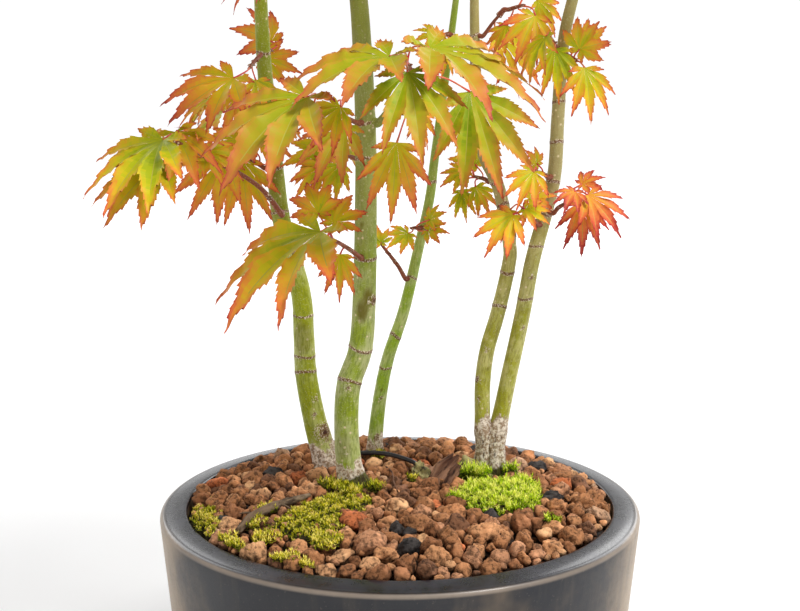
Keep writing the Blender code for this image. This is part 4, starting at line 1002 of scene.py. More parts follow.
# %% Bark finish
def bark(name, fresh, pale, shade, aged):
    """Green bark with streaks, pores and rings, older higher up; cork, then damp earth, low down."""
    made = finish(name, specular=0.2)
    start = Shade(made.node_tree)
    place, spot = start.layer("grain", 1), start.place()
    ring, cork, damp, stain = [start.layer(layer) for layer in ("ring", "cork", "damp", "stain")]
    streak, cloud = place.noise(1100, 4, 0.6), place.noise(150, 3, 0.55)
    bloom, speck = spot.noise(75, 4, 0.6), spot.noise(1300, 3, 0.7)
    pore = spot.cells(300).ramp(0.22, 0.12) * bloom.ramp(0.42, 0.56)
    colour = (bloom * 0.6 + cloud * 0.4).ramp(0.40, 0.60).mix(fresh, pale)
    colour = (streak.ramp(0.46, 0.62) * 0.60).mix(colour, shade)
    colour = ((spot.part(2) + 0.10 * (cloud - 0.5)).ramp(0.17, 0.27) * 0.75).mix(colour, aged)
    colour = (speck.ramp(0.55, 0.70) * 0.40).mix(colour, srgb(206, 204, 166))
    colour = (pore * 0.80).mix(colour, srgb(222, 206, 168))
    edge = (stain + 0.5 * (speck - 0.5) + 0.4 * (cloud - 0.5)).ramp(0.10, 0.32)
    colour = (edge * stain).mix(colour, srgb(98, 88, 6))
    band = (ring * (0.35 + 1.5 * speck)).ramp(0.24, 0.56)
    colour = (band * 0.85).mix(colour, srgb(112, 70, 52))
    fleck = ring.ramp(0.06, 0.30) * speck.ramp(0.52, 0.60)
    colour = (fleck * 0.85).mix(colour, srgb(226, 214, 190))
    colour = ring.ramp(0.98, 1.20).mix(colour, srgb(72, 42, 30))
    flake, chalk = place.noise(560, 7, 0.8), spot.noise(600, 5, 0.75)
    old = chalk.ramp(0.42, 0.58).mix(srgb(156, 130, 104), srgb(238, 226, 210))
    old = (flake.ramp(0.46, 0.38) * 0.9).mix(old, srgb(72, 52, 36))
    old = (cloud.ramp(0.55, 0.70) * 0.4).mix(old, srgb(150, 140, 96))
    colour = (cork + 2.4 * (flake - 0.5)).ramp(0.44, 0.56).mix(colour, old)
    wet = flake.ramp(0.4, 0.6).mix(srgb(58, 48, 30), srgb(98, 96, 48))
    colour = (damp + 0.8 * (cloud - 0.5)).ramp(0.35, 0.65).mix(colour, wet)
    relief = streak * 0.25 + flake * cork * 1.4 + speck * ring * 0.8
    feed(made, base_color=colour, roughness=0.46 + 0.34 * cork + 0.12 * streak,
         normal=relief.bump(0.7, 0.0011))
    return made


BARKS = {name: bark(name, *[srgb(*tone) for tone in tones]) for name, tones in {
    "green_bark": ((140, 158, 36), (178, 182, 124), (108, 122, 44), (132, 138, 64)),
    "deep_green_bark": ((150, 158, 22), (186, 190, 118), (114, 124, 20), (124, 136, 18)),
    "grass_green_bark": ((148, 178, 46), (186, 198, 126), (112, 138, 50), (132, 154, 52)),
    "olive_bark": ((158, 158, 38), (194, 190, 116), (128, 122, 44), (154, 140, 98)),
    "young_bark": ((128, 62, 46), (160, 92, 60), (92, 44, 36), (132, 72, 52))}.items()}
BARK_OF = {"stem_a": "deep_green_bark", "stem_b": "green_bark", "stem_c": "grass_green_bark"}
print("bark is ready")

# %% [markdown]
# ## The stems
# A stem is swept along its curve in steps of two millimetres, with extra rings of points at each
# scar, where the bark stands up in a thin ridge. The flare at the ground is pulled into root
# ridges. Old side shoots have left round knots, which bulge and have a hollow eye. All this could
# be a bump in the material, but the outline would stay a smooth pipe.

# %% Scars, knots and stains
RINGS = {
    "stem_a": (154.5, 162, 182.5, 208, 235, 257, 296, 313, 352, 384, 412, 440, 468),
    "stem_b": (160, 175.5, 220, 267, 284, 318, 352, 366, 392, 424, 440, 452, 470, 496, 520),
    "stem_c": (151.5, 168, 198.5, 223.5, 247, 282, 321, 352, 384),
    "stem_d": (191.5, 207.5, 226, 241, 252, 280, 310, 322, 350, 376, 404),
    "stem_e": (196, 222, 238, 254, 273, 292, 314, 350, 388, 424, 452),
}
# stem; height, heading it faces, radius of a knot in millimetres, and how far it stands out
KNOTS = (
    ("stem_a", 124, -50, 4.0, 1.6), ("stem_b", 200, -36, 2.3, 0.9), ("stem_c", 115, -80, 2.4, 0.5),
    ("stem_d", 226, -25, 1.8, 1.0), ("stem_d", 229, -165, 1.6, 0.7), ("stem_b", 284, 20, 2.0, 0.9),
    ("stem_a", 214, -60, 1.8, 0.9), ("stem_d", 252, 175, 1.5, 0.8), ("stem_e", 238, 165, 1.3, 0.5),
    ("stem_a", 272, 118, 1.6, 0.6), ("stem_b", 157, -100, 1.6, 0.3), ("stem_e", 207, -80, 1.2, 0.4),
    ("stem_a", 141, -62, 1.5, 0.2), ("stem_a", 133, -80, 0.9, 0.2), ("stem_d", 155, -150, 1.8, 0.2),
    ("stem_d", 145, -120, 1.2, 0.2), ("stem_d", 170, -100, 1.3, 0.2), ("stem_b", 125, -95, 0.9, 0.2),
    ("stem_c", 136, -80, 1.0, 0.2), ("stem_b", 150, -70, 0.8, 0.2), ("stem_e", 182, -70, 0.9, 0.2),
)
# stem; height, heading, size in millimetres and depth of an olive-brown stain
STAINS = (
    ("stem_b", 195, -96, 5.6, 0.9), ("stem_b", 201, -70, 5.0, 0.9), ("stem_a", 172, -95, 9.6, 0.46),
    ("stem_b", 128, -105, 8.0, 0.3), ("stem_c", 140, -90, 1.5, 0.8), ("stem_b", 236, -110, 2.0, 0.8),
    ("stem_d", 160, -70, 1.5, 0.8), ("stem_a", 262, -90, 14, 0.34), ("stem_b", 330, -90, 22, 0.3),
)
# where the two forked stems run on down to the ground, inside their shared foot
ROOTS = {
    "stem_d": ((41.0, 30.5, 99), (41.8, 30, 110), (42.6, 30, 120), (41.6, 30, 129)),
    "stem_e": ((48.6, 29, 99), (48.2, 29, 110), (48.0, 29.5, 120), (49.0, 29.8, 129)),
}
# heights in millimetres up to which a limb is cork, and damp
CORK_TO = {"stem_a": 119, "stem_b": 121, "stem_c": 117, "stem_d": 137, "stem_e": 137, "clump_foot": 150}
DAMP_TO = {"stem_a": 105, "stem_b": 112, "stem_c": 109, "stem_d": 111, "stem_e": 110, "clump_foot": 112}


def near_ring(heights, z, around, width):
    """1 on a scar, falling away within the width; a scar runs slightly askew round the stem."""
    found = np.zeros(np.broadcast(z, around).shape)
    for height in heights:
        askew = 0.0005 * np.cos(2 * around + height) + 0.0003 * np.cos(around + height * 1.7)
        strength = 0.80 + 0.20 * math.sin(height * 2.4)
        found = np.maximum(found, strength * np.exp(-((z - height * MM - askew) / width) ** 2))
    return found


def spots_on(stem, table, points, squeeze=(1, 1, 1)):
    """For each spot of a table on this stem: how far off the points are, its size and its last number."""
    for host, height, heading, size, much in table:
        if host == stem:
            centre, radius = axis_at(stem, height)
            turn = math.radians(heading)
            spot = (centre.x + math.cos(turn) * radius, centre.y + math.sin(turn) * radius, height * MM)
            yield np.linalg.norm((points - spot) * squeeze, axis=1) / (size * MM), size, much


def knot_shape(stem, points):
    """How far each point is pushed out by knots, and how dark it is, from its place."""
    push, dark = np.zeros(len(points)), np.zeros(len(points))
    for away, size, out in spots_on(stem, KNOTS, points):
        push += out * MM * (np.exp(-away ** 2) - 0.75 * np.exp(-(away / 0.42) ** 2))
        rim = 0.35 * np.exp(-((away - 1.25) / 0.22) ** 2)
        eye = 0.5 * np.exp(-(away / 0.62) ** 4) * (size > 1.7)
        dark = np.maximum(dark, 0.9 * np.exp(-(away / 0.75) ** 2) + rim + eye)
    return push, dark


def stain_at(stem, points):
    """How deep the stain is at each point of a stem."""
    found = np.zeros(len(points))
    for away, _, depth in spots_on(stem, STAINS, points, (1.2, 1.2, 0.6)):
        found = np.maximum(found, depth * np.clip(2.0 - 2.5 * away, 0, 1))
    return found


# %% Sweep the stems
STEM_SIDES = 32
STEM_CUTS = 0.0021
ROOT_CUTS = 0.0016
SCAR_CUTS = (-2.2, -1.3, -0.8, -0.4, 0, 0.4, 0.8, 1.3, 2.2)


def with_extra(line, heights):
    """Adds cuts close to each scar, so that its thin ridge has points to stand on."""
    z = np.array([p.z for p in line])
    extra = [(height + d) * MM for height in heights for d in SCAR_CUTS if z[0] < (height + d) * MM < z[-1]]
    every = np.unique(np.round(np.concatenate([z, extra]), 6))
    every = every[np.concatenate([[True], np.diff(every) > 0.00018])]
    return np.stack([np.interp(every, z, [p[k] for p in line]) for k in range(3)], axis=1)


def barked(name, line, reach, scars, seed, slot):
    """Turns a line and its radii into a barked limb; the section stays level, as a stem is upright."""
    sides = reach.shape[1]
    rng = np.random.default_rng(seed)
    rough, fine = waves(rng, 10, 240), waves(rng, 16, 1500)
    around, along, z = circle(sides), run_of(line)[:, None], line[:, 2:3]
    level = CORK_TO[name] * MM + 0.004 * rough(along * 2, around) + 0.002 * np.cos(2 * around + seed)
    cork = np.clip((level - z) / 0.011 + 0.35, 0, 1)
    share = 0.014 * rough(along, around) + 0.055 * near_ring(scars, z, around, 0.0012)
    share += cork * (0.045 * fine(along, around) + 0.02 * rough(along * 4, around))
    reach = reach * (1 + share)
    ahead = heading_of(line)
    side = np.cross((0.0, 1.0, 0.0), ahead)
    points, out = skin(line, ahead, side / np.linalg.norm(side, axis=1)[:, None], reach)
    push, dark = knot_shape(name, points)
    points = points + out * push[:, None]
    damp = np.clip((DAMP_TO[name] * MM - z) / 0.005 + 0.5, 0, 1) * np.ones(sides)
    heap = Heap()
    closed_tube(heap, points, sides, cork=cork.ravel(), damp=damp.ravel(), stain=stain_at(name, points),
                ring=np.maximum(near_ring(scars, z, around, 0.00080).ravel() * 0.95, dark),
                grain=unrolled(around, reach, along * 0.22).reshape(-1, 3))
    dress(heap.object(name + "_bark", [BARKS[BARK_OF.get(name, "olive_bark")]]), slot, name)


for number, (name, *sizes, bends, nodes) in enumerate(STEMS):
    line = with_extra(curve_through([millimetres(b) for b in bends], step=STEM_CUTS), RINGS[name])
    radii = radius_at(line[:, 2], line, *sizes) * MM
    around = circle(STEM_SIDES)
    reach = radii[:, None] * np.ones(STEM_SIDES)
    if name in ROOTS:
        root = curve_through([*map(millimetres, ROOTS[name]), line[0]], step=ROOT_CUTS)
        root = np.array(root)[:-1]
        wide = np.interp(root[:, 2], (0.100, 0.110, 0.119, 0.128, FORK * MM),
                         (6.4, 5.2, 4.6, 4.9, radii[0] / MM)) * MM
        furrows = 0.06 * np.cos(5 * around + number) + 0.05 * np.cos(9 * around + 2 * number)
        fading = np.clip((FORK * MM - root[:, 2:3]) / 0.012, 0, 1)
        line = np.concatenate([root, line])
        reach = np.concatenate([wide[:, None] * (1 + furrows * fading), reach])
    else:
        ridge = 0.13 * np.cos(5 * around + number) + 0.06 * np.cos(3 * around + 2 * number)
        reach *= 1 + np.exp(-(line[:, 2:3] - line[0, 2]) / 0.006) * ridge
        line = np.concatenate([line[:1] - (0, 0, 0.004), line])
        reach = np.concatenate([reach[:1] * 1.06, reach])
    barked(name, line, reach, RINGS[name], 200 + number, "olive_bark" if name in ROOTS else "green_bark")

# %% [markdown]
# ## The shared foot
# Two of the stems fork from one old stump, all cork. They run on down to the ground side by side,
# so that a furrow shows between them. The stump could be one wide ring of points pinched in the
# middle, but an oval core that fills up behind and before the two is easier to keep smooth.

# %% The clump's foot
FOOT_AT = (45.2, 30)
FOOT_RADII = (7.8, 6.3, 8.2)
FOOT_OVAL = 0.78
ground, waist, top = FOOT_RADII
heights = np.linspace(GROUND - 3, FORK - 3.5, 44)
shares = np.clip((heights - GROUND) / (FORK - GROUND), 0, 1)
radii = waist + (ground - waist) * np.maximum(0, 1 - shares * 3) ** 1.4
radii += (top - waist) * np.clip((shares - 0.4) / 0.6, 0, 1)
radii *= 1 - 0.5 * np.clip((heights - 119) / 12, 0, 1) ** 2
around = circle(48)
oval = 1 / np.sqrt(np.cos(around) ** 2 + (np.sin(around) / FOOT_OVAL) ** 2)
furrow = 0.07 * np.cos(5 * around + 0.6) + 0.05 * np.cos(9 * around + 2.0) + 0.03 * np.cos(14 * around)
cleft = 0.20 * np.exp(-((np.abs(np.sin(around)) - 1) / 0.10) ** 2)
rise = np.clip((heights - 118) / (FORK - 118), 0, 1)[:, None]
reach = 0.80 * radii[:, None] * MM * oval * (1 + furrow * (1 - 0.4 * rise) - cleft * rise)
line = np.column_stack([np.full((len(heights), 2), FOOT_AT), heights]) * MM
barked("clump_foot", line, reach, (112, 121, 128), 230, "cork")
print("stems and foot stand")

# %% [markdown]
# ## Boughs
# Side limbs leave a stem square to its surface and carry foliage at their ends. They could be
# branches of the stem's own mesh, but a joint in one skin is hard to keep clean, so each is a limb
# of its own that starts a little inside the stem, where the engineering model has it.

# %% Bough tables
CLEAR_OF_LIMB = 0.0004
SEAT_MARGIN = 0.00005
SEAT_STEP = 0.00012
YOUNG_BOUGHS = ("bough_a_left", "bough_d_right")
BOUGHS = (
    # name, stem it grows from, rows of x, y, z and radius in millimetres
    ("bough_a_left", "stem_a", ((-59, 46, 235, 2.4), (-67, 36, 248, 1.8), (-78, 25, 258, 1.6),
                                (-86, 16, 263, 1.4))),
    ("bough_b_front", "stem_b", ((-10, 0, 284, 2.2), (-5, -6, 290, 1.9), (0, -12, 296, 1.8),
                                 (4, -23, 302, 1.5), (6, -33, 307, 1.3))),
    ("bough_d_right", "stem_d", ((39, 36, 322, 1.6), (44, 34, 328, 1.2), (48, 31, 333, 1.1))),
    ("bough_a_upper", "stem_a", ((-74, 57, 384, 2.0), (-86, 50, 396, 1.6), (-100, 40, 408, 1.2))),
    ("bough_b_upper_left", "stem_b", ((-27, -2, 424, 2.2), (-42, 4, 440, 1.7), (-56, 8, 455, 1.3))),
    ("bough_b_upper_right", "stem_b", ((-8, -8, 452, 2.0), (8, -16, 466, 1.6), (24, -22, 478, 1.2))),
    ("bough_e_upper", "stem_e", ((93, 17, 388, 1.6), (106, 10, 400, 1.3), (118, 2, 412, 1.1))),
)
BODIES = {}


def skin_of(node):
    """A search tree of a node of the frame, for the nearest place on its surface."""
    if node not in BODIES:
        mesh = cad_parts[node].data
        sides = [side.vertices[:] for side in mesh.polygons]
        BODIES[node] = BVHTree.FromPolygons([vertex.co for vertex in mesh.vertices], sides)
    return BODIES[node]


def seated_rows(host, rows, run=0.0022):
    """The rows with the first moved to stand just clear of the host, square to its surface."""
    (first, radius), stand = rows[0], 0.0
    place, normal, _, _ = skin_of(host).find_nearest(first)
    side = normal.orthogonal().normalized()
    other = normal.cross(side)
    for _ in range(12):
        root = place + normal * (CLEAR_OF_LIMB + stand)
        second = place + normal * (CLEAR_OF_LIMB + stand + run)
        edges = [root + (side * math.cos(turn) + other * math.sin(turn)) * radius for turn in circle(12)]
        if min(skin_of(host).find_nearest(edge)[3] for edge in edges) >= GAP + SEAT_MARGIN:
            break
        stand += SEAT_STEP
    rest = [row for row in rows[1:] if (row[0] - second).length > run]
    return [(root, radius), (second, radius * 0.97)] + rest, normal


# %% Grow the boughs
SWELLING_EVERY = 0.017
BOUGH_ROOT = 0.002


def rooted(rows, normal, depth, parts):
    """A fine line and radii that start inside the host and run through the rows."""
    sizes = [rows[0][1] * 1.25, rows[0][1] * 1.12] + [row[1] for row in rows[1:]]
    line = curve_through([rows[0][0] - normal * depth] + [row[0] for row in rows], parts)
    return line, np.interp(np.linspace(0, len(sizes) - 1, len(line)), range(len(sizes)), sizes)


def limb_marks(along, around, radii):
    """The numbers that the bark reads: a ring at each swelling, no cork, no damp and no stain."""
    none = np.zeros(len(along))
    return {"ring": np.exp(-((along % SWELLING_EVERY) / 0.0009) ** 2), "cork": none, "damp": none,
            "stain": none, "grain": unrolled(around, radii, along * 0.22)}


def limb_relief(along, around):
    """A swelling at even steps, the same all round."""
    return 0.10 * np.exp(-((along % SWELLING_EVERY) / 0.0011) ** 2)


for name, host, table in BOUGHS:
    rows, normal = seated_rows(host, [(millimetres(row[:3]), row[3] * MM) for row in table])
    AXES[name] = rows
    young = name in YOUNG_BOUGHS
    look = "young_bark" if young else "green_bark"
    heap = Heap()
    line, radii = rooted(rows, normal, BOUGH_ROOT, 7)
    sweep(heap, line, radii * (0.66 if young else 0.9), 16, limb_relief, marks=limb_marks)
    dress(heap.object(name + "_bark", [BARKS[look]]), look, name)

# %% [markdown]
# ## Foliage
# A spray is a thin red twig with opposite buds, leaf stalks and hanging leaves. The sprays that
# face the viewer are set leaf by leaf in a table; the upper ones follow one rule with a seed. The
# engineering model grew only the leaves that had room, trying a few small turns for each, so the
# same turns are tried here, and the one that ends at a leaf tip of the engineering model is kept.

# %% Spray tables
LEAF_ARCH = 0.085
LEAF_DROOP = 0.18
LEAF_FOLD = 0.42
TWIG_FROM = 0.0012
TWIG_TO = 0.0008
TWIG_SAG = 0.06
BUD_LENGTH = 0.0025
SIDE_BUD_LENGTH = 0.0019
TWIG_ROOT = 0.0025
TIP_MATCH = 0.0006
TWIG_SEAT = 0.0016
TRIES = ((0, 0), (0, 9), (0, -9), (9, 0), (-9, 0), (14, 14), (14, -14), (-14, 14), (-14, -14), (24, 0),
         (-24, 0))
SPRAYS = (
    # name, limb, place on it, heading, rise and length of the twig, and how far it has turned colour;
    # leaves: station, stalk's length, heading, rise, blade's length, heading, rise, way it faces
    ("spray_a_left", "bough_a_left", 1, -135, 30, 28, 0.10, (
        (1.0, 9, -120, 10, 48, -130, -40, -100, 80), (0.9, 12, 165, -45, 42, -140, -40, -95, 65),
        (0.5, 8, 80, 65, 14, -120, 15, -90, 60), (0.8, 9, 130, 40, 33, -55, -45, -80, 30),
        (0.9, 16, 135, 0, 36, -170, -30, -110, 80), (0.3, 8, 95, 10, 22, 0, -45, -90, 50))),
    ("spray_a_inner", "stem_a", 257, -145, 30, 21, 0.20, (
        (1.0, 4, -140, -20, 35, -165, -55, -90, 15), (0.8, 6, 90, -30, 36, -20, -70, -90, 15),
        (0.6, 14, -115, 45, 20, -150, -20, -90, 45), (0.5, 15, -20, 80, 23, 0, -35, -90, 25),
        (0.3, 10, 125, 50, 18, -180, 40, -90, 50))),
    ("spray_a_upper", "stem_a", 312, -105, -15, 17, 0.22, (
        (1.0, 15, -115, -15, 40, -145, -30, -95, 60), (0.8, 9, -65, -50, 21, -60, -55, -60, 20))),
    ("spray_a_behind", "stem_a", 314, 70, -10, 3, 0.30, (
        (1.0, 7, 120, -30, 20, 10, -20, -90, 5), (0.8, 12, 90, 20, 24, 160, 20, 100, 20))),
    ("spray_b_front", "bough_b_front", 1, -100, 25, 21, 0.13, (
        (1.0, 17, -115, 10, 49, -150, -20, -95, 82), (0.9, 26, -90, -5, 42, -75, -55, -85, 30),
        (1.0, 12, -25, 30, 58, -25, -35, -75, 82), (0.1, 34, 40, -15, 50, -30, -70, -85, 15))),
    ("spray_b_right", "bough_b_front", 0.55, 40, -5, 8, 0.20, (
        (0.8, 32, -110, -35, 34, -155, -85, -90, 10), (0.9, 14, -100, -20, 19, 35, -65, -60, 25),
        (1.0, 9, -45, -15, 27, -30, -40, -70, 30))),
    ("spray_b_left", "stem_b", 284, -115, 15, 48, 0.22, (
        (1.0, 33, -90, 14, 55, -155, -38, -100, 72), (0.6, 9, 30, -40, 32, -135, -50, -110, 20),
        (0.9, 12, -100, -5, 8, -65, -80, -90, 20), (0.8, 21, -65, 10, 23, -145, -45, -80, 30))),
    ("spray_b_back", "stem_b", 266, 125, 5, 22, 0.14, (
        (0.7, 5, -110, -85, 20, -150, -50, -90, 20), (1.0, 5, 130, 0, 24, 170, -15, -90, 35),
        (0.9, 8, 170, -45, 21, -165, -20, -100, 30), (0.8, 12, 85, 10, 24, 70, -30, 60, 35))),
    ("spray_b_low", "stem_b", 221, -110, 25, 43, 0.10, (
        (1.0, 9, -110, 25, 60, -145, -35, -105, 85), (0.5, 5, -120, -35, 21, -95, -80, -90, 10),
        (0.9, 7, 45, 80, 19, 55, 40, -90, 30), (0.9, 13, 155, 60, 19, 115, 45, -90, 20))),
    ("spray_c_low", "stem_c", 198, -135, 50, 27, 0.12, (
        (1.0, 3, -115, 45, 10, -135, 75, -90, 20),)),
    ("spray_c_middle", "stem_c", 224, -125, 10, 7, 0.14, (
        (0.9, 5, -120, -25, 15, -155, -25, -90, 35), (0.6, 9, -20, 30, 11, -25, 30, -90, 35),
        (0.5, 8, -40, -5, 12, -25, 0, -90, 40))),
    ("spray_c_upper", "stem_c", 321, -120, 0, 8, 0.14, (
        (0.9, 4, -140, 15, 14, -160, -15, -90, 40), (0.8, 7, -60, -55, 16, -120, -65, -90, 25),
        (0.5, 9, -10, -25, 15, -25, -25, -90, 30))),
    ("spray_d_left", "stem_d", 252, 135, 10, 11, 0.14, (
        (1.0, 5, 150, 25, 15, -165, -25, -90, 45), (0.9, 11, 145, -40, 16, -55, -75, -90, 25),
        (0.7, 7, 110, -45, 17, -25, -60, -80, 20), (0.6, 11, 105, 30, 16, 150, 45, -90, 30))),
    ("spray_d_right", "bough_d_right", 1, -30, 20, 11, 0.24, (
        (1.0, 9, -40, -30, 26, -135, -55, -90, 25), (0.6, 13, 105, -40, 15, 165, -65, -90, 30),
        (0.3, 26, 100, -30, 34, 25, -45, -90, 40), (0.9, 11, 35, 15, 20, 35, -55, -80, 30))),
    ("spray_e_upper_left", "stem_e", 314, -115, 35, 15, 0.14, (
        (1.0, 5, -125, 15, 25, -125, -55, -150, 30), (0.6, 7, -95, -10, 24, -65, -80, -90, 10))),
    ("spray_e_upper_right", "stem_e", 314, -75, -5, 14, 0.22, (
        (0.8, 6, -55, 50, 18, -35, 55, -90, 30), (1.0, 6, -45, -30, 26, -75, -70, -80, 15),
        (0.5, 8, 20, 40, 15, 10, 40, -60, 30))),
    ("spray_e_low_left", "stem_e", 233, -120, 30, 21, 0.26, (
        (1.0, 6, -145, -15, 24, -145, -45, -100, 25), (0.8, 6, -100, 25, 14, -35, -25, -80, 30),
        (0.6, 9, -100, 70, 14, -10, 20, -90, 50), (0.9, 7, 160, 5, 16, -145, -70, -90, 10))),
    ("spray_e_middle", "stem_e", 256, -120, 20, 16, 0.26, (
        (1.0, 4, -110, 5, 21, -130, -50, -95, 20), (0.5, 6, -155, 55, 10, -160, 50, -90, 40))),
    ("spray_e_low_right", "stem_e", 239, -55, 30, 17, 0.56, (
        (1.0, 10, -45, 20, 25, -35, -45, -75, 25), (0.9, 6, -10, 5, 26, -95, -80, -90, 10),
        (0.8, 11, -75, 35, 15, -120, -30, -100, 30), (0.7, 12, 5, 50, 12, 0, 20, -90, 50),
        (0.4, 11, 40, 65, 14, 0, 70, -90, 30))),
)
GROWN_SPRAYS = (
    # name, limb, place on it, heading, rise and length of the twig, leaf pairs, leaf length, seed
    ("spray_a_low_back", "stem_a", 272, 118, 22, 44, 2, 34, 3),
    ("spray_a_side", "stem_a", 352, 205, 28, 46, 2, 38, 4),
    ("spray_a_out", "bough_a_upper", 1, 200, 18, 44, 2, 40, 5),
    ("spray_a_high", "stem_a", 440, 95, 30, 44, 2, 36, 6),
    ("spray_a_top", "stem_a", 1, 140, 62, 34, 1, 34, 7),
    ("spray_b_side_left", "stem_b", 352, 196, 20, 46, 2, 36, 8),
    ("spray_b_side_right", "stem_b", 366, -38, 22, 48, 2, 38, 9),
    ("spray_b_rear", "stem_b", 392, 82, 28, 50, 2, 38, 10),
    ("spray_b_left_end", "bough_b_upper_left", 1, 186, 22, 46, 2, 40, 12),
    ("spray_b_right_end", "bough_b_upper_right", 1, -22, 22, 48, 2, 40, 13),
    ("spray_b_high_front", "stem_b", 440, -118, 26, 46, 2, 38, 14),
    ("spray_b_high_back", "stem_b", 496, 128, 30, 44, 2, 36, 15),
    ("spray_b_top", "stem_b", 1, 30, 70, 34, 2, 36, 16),
    ("spray_c_top", "stem_c", 1, 76, 50, 36, 1, 34, 17),
    ("spray_d_back", "stem_d", 376, 112, 30, 38, 2, 32, 18),
    ("spray_d_top", "stem_d", 1, 60, 62, 34, 1, 34, 19),
    ("spray_e_end", "bough_e_upper", 1, -30, 18, 40, 2, 38, 20),
    ("spray_e_back", "stem_e", 424, 58, 28, 44, 2, 36, 21),
    ("spray_e_top", "stem_e", 1, -70, 64, 34, 1, 34, 22),
)
print(len(SPRAYS) + len(GROWN_SPRAYS), "sprays")

# %% Where twigs and leaves go
def turned_tip(foot, tip, lift, swing):
    """The leaf's tip after a small turn about its foot, up or down and then sideways."""
    reach = tip - foot
    side = Vector((-reach.y, reach.x, 0))
    if side.length < 1e-6:
        side = Vector((1, 0, 0))
    raised = Matrix.Rotation(-math.radians(lift), 3, side.normalized()) @ reach
    return foot + Matrix.Rotation(math.radians(swing), 3, "Z") @ raised


def bearing(heading, rise):
    """A direction from its heading and its rise in degrees."""
    turn, climb = math.radians(heading), math.radians(rise)
    return Vector((math.cos(turn) * math.cos(climb), math.sin(turn) * math.cos(climb), math.sin(climb)))


def twig_rows(host, at, heading, rise, length):
    """The twig's centres and radii, from just clear of its limb to its end."""
    centre, radius = axis_at(host, at)
    if at == 1:
        start = centre + (AXES[host][-1][0] - AXES[host][-2][0]).normalized() * CLEAR_OF_LIMB
    else:
        start = centre + bearing(heading, 0) * (radius + CLEAR_OF_LIMB)
    ahead, long = bearing(heading, rise), length * MM
    return [(start + ahead * (long * share) - UP * (TWIG_SAG * long * share * share),
             TWIG_FROM + (TWIG_TO - TWIG_FROM) * share) for share in (0, 1 / 3, 2 / 3, 1)]


def ruled_leaves(heading, pairs, leaf_length, seed):
    """Opposite pairs that spread from the twig and droop at their tips, and an end pair."""
    rng = random.Random(seed)
    leaves = []
    for pair in range(pairs + 1):
        station = 0.42 + 0.56 * pair / pairs
        spread, shorter, smaller = (38, 0.8, 0.86) if pair == pairs else (66, 1.0, 1.0)
        for hand in (1, -1):
            lean = heading + (spread + rng.uniform(-12, 12)) * hand
            stalk = rng.uniform(12, 20) * shorter
            stalk_rise = rng.uniform(6, 27)
            blade = leaf_length * rng.uniform(0.82, 1.12) * smaller
            blade_rise = -rng.uniform(28, 62)
            ahead = lean - 12 * hand
            leaves.append((station, stalk, lean, stalk_rise, blade, ahead, blade_rise, ahead, 48))
    return leaves


def placed_leaves(name, rows, leaves):
    """The leaves that the engineering model has: start and foot of the stalk, tip, facing."""
    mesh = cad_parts[name].data
    tree = KDTree(len(mesh.vertices))
    for number, vertex in enumerate(mesh.vertices):
        tree.insert(vertex.co, number)
    tree.balance()
    grown = []
    for count, (station, stalk, lean, stalk_rise, blade, heading, rise, *facing) in enumerate(leaves):
        start = along_path(rows, max(station - 0.02 * count, 0.1))
        foot = along_path(rows, station) + bearing(lean, stalk_rise) * (stalk * MM)
        tip = foot + bearing(heading, rise) * (blade * MM)
        tips = [turned_tip(foot, tip, lift, swing) for lift, swing in TRIES]
        kept = [turned for turned in tips if tree.find(turned)[2] < TIP_MATCH]
        if kept:
            grown.append((start, foot, kept[0], facing))
    return grown


ROWS, LEAVES = {}, {}
for name, host, at, heading, rise, length, *rule in SPRAYS + GROWN_SPRAYS:
    ROWS[name] = seated_rows(host, twig_rows(host, at, heading, rise, length), TWIG_SEAT)
    leaves = rule[1] if len(rule) == 2 else ruled_leaves(heading, *rule)
    LEAVES[name] = placed_leaves(name, ROWS[name][0], leaves)
print(sum(len(grown) for grown in LEAVES.values()), "leaves found")

# %% [markdown]
# ## The shape of a leaf
# A maple leaf is a fan of seven long-pointed lobes, cut two thirds of the way to the stalk, with
# sharp teeth that point forward, a midrib in each lobe, and margins that curl up a little. A flat
# outline could be filled with triangles, but it wouldn't bend, so each lobe is a strip of quads:
# nine columns across, from margin to margin, and a row at each station along it. Near the stalk a
# lobe is as wide as its sector, so neighbours join; beyond it follows a bellied outline. At every
# other station the margin is drawn out into a tooth.

# %% Leaf shape
# angle from the midrib, length, and the sector on either side, in degrees, of each lobe of a half
LOBES = ((0, 1.0, 18.5, 18.5), (37, 0.92, 18.5, 19.5), (76, 0.71, 19.5, 26), (128, 0.34, 26, 35))
COLUMNS = np.array([-1, -0.82, -0.48, -0.04, 0, 0.04, 0.48, 0.82, 1])
WIDEST_AT = 0.52
LOBE_WIDTH = 0.170


def belly(t):
    """Half width of a lobe at a share of its length, against its widest."""
    wide = 0.60 + 0.40 * np.sin(math.pi / 2 * np.clip(t / WIDEST_AT, 0, 1))
    x = np.clip((t - WIDEST_AT) / (1 - WIDEST_AT), 0, 1)
    return np.where(t < WIDEST_AT, wide, (1 - x) ** 1.15 * (1 + 0.45 * x))


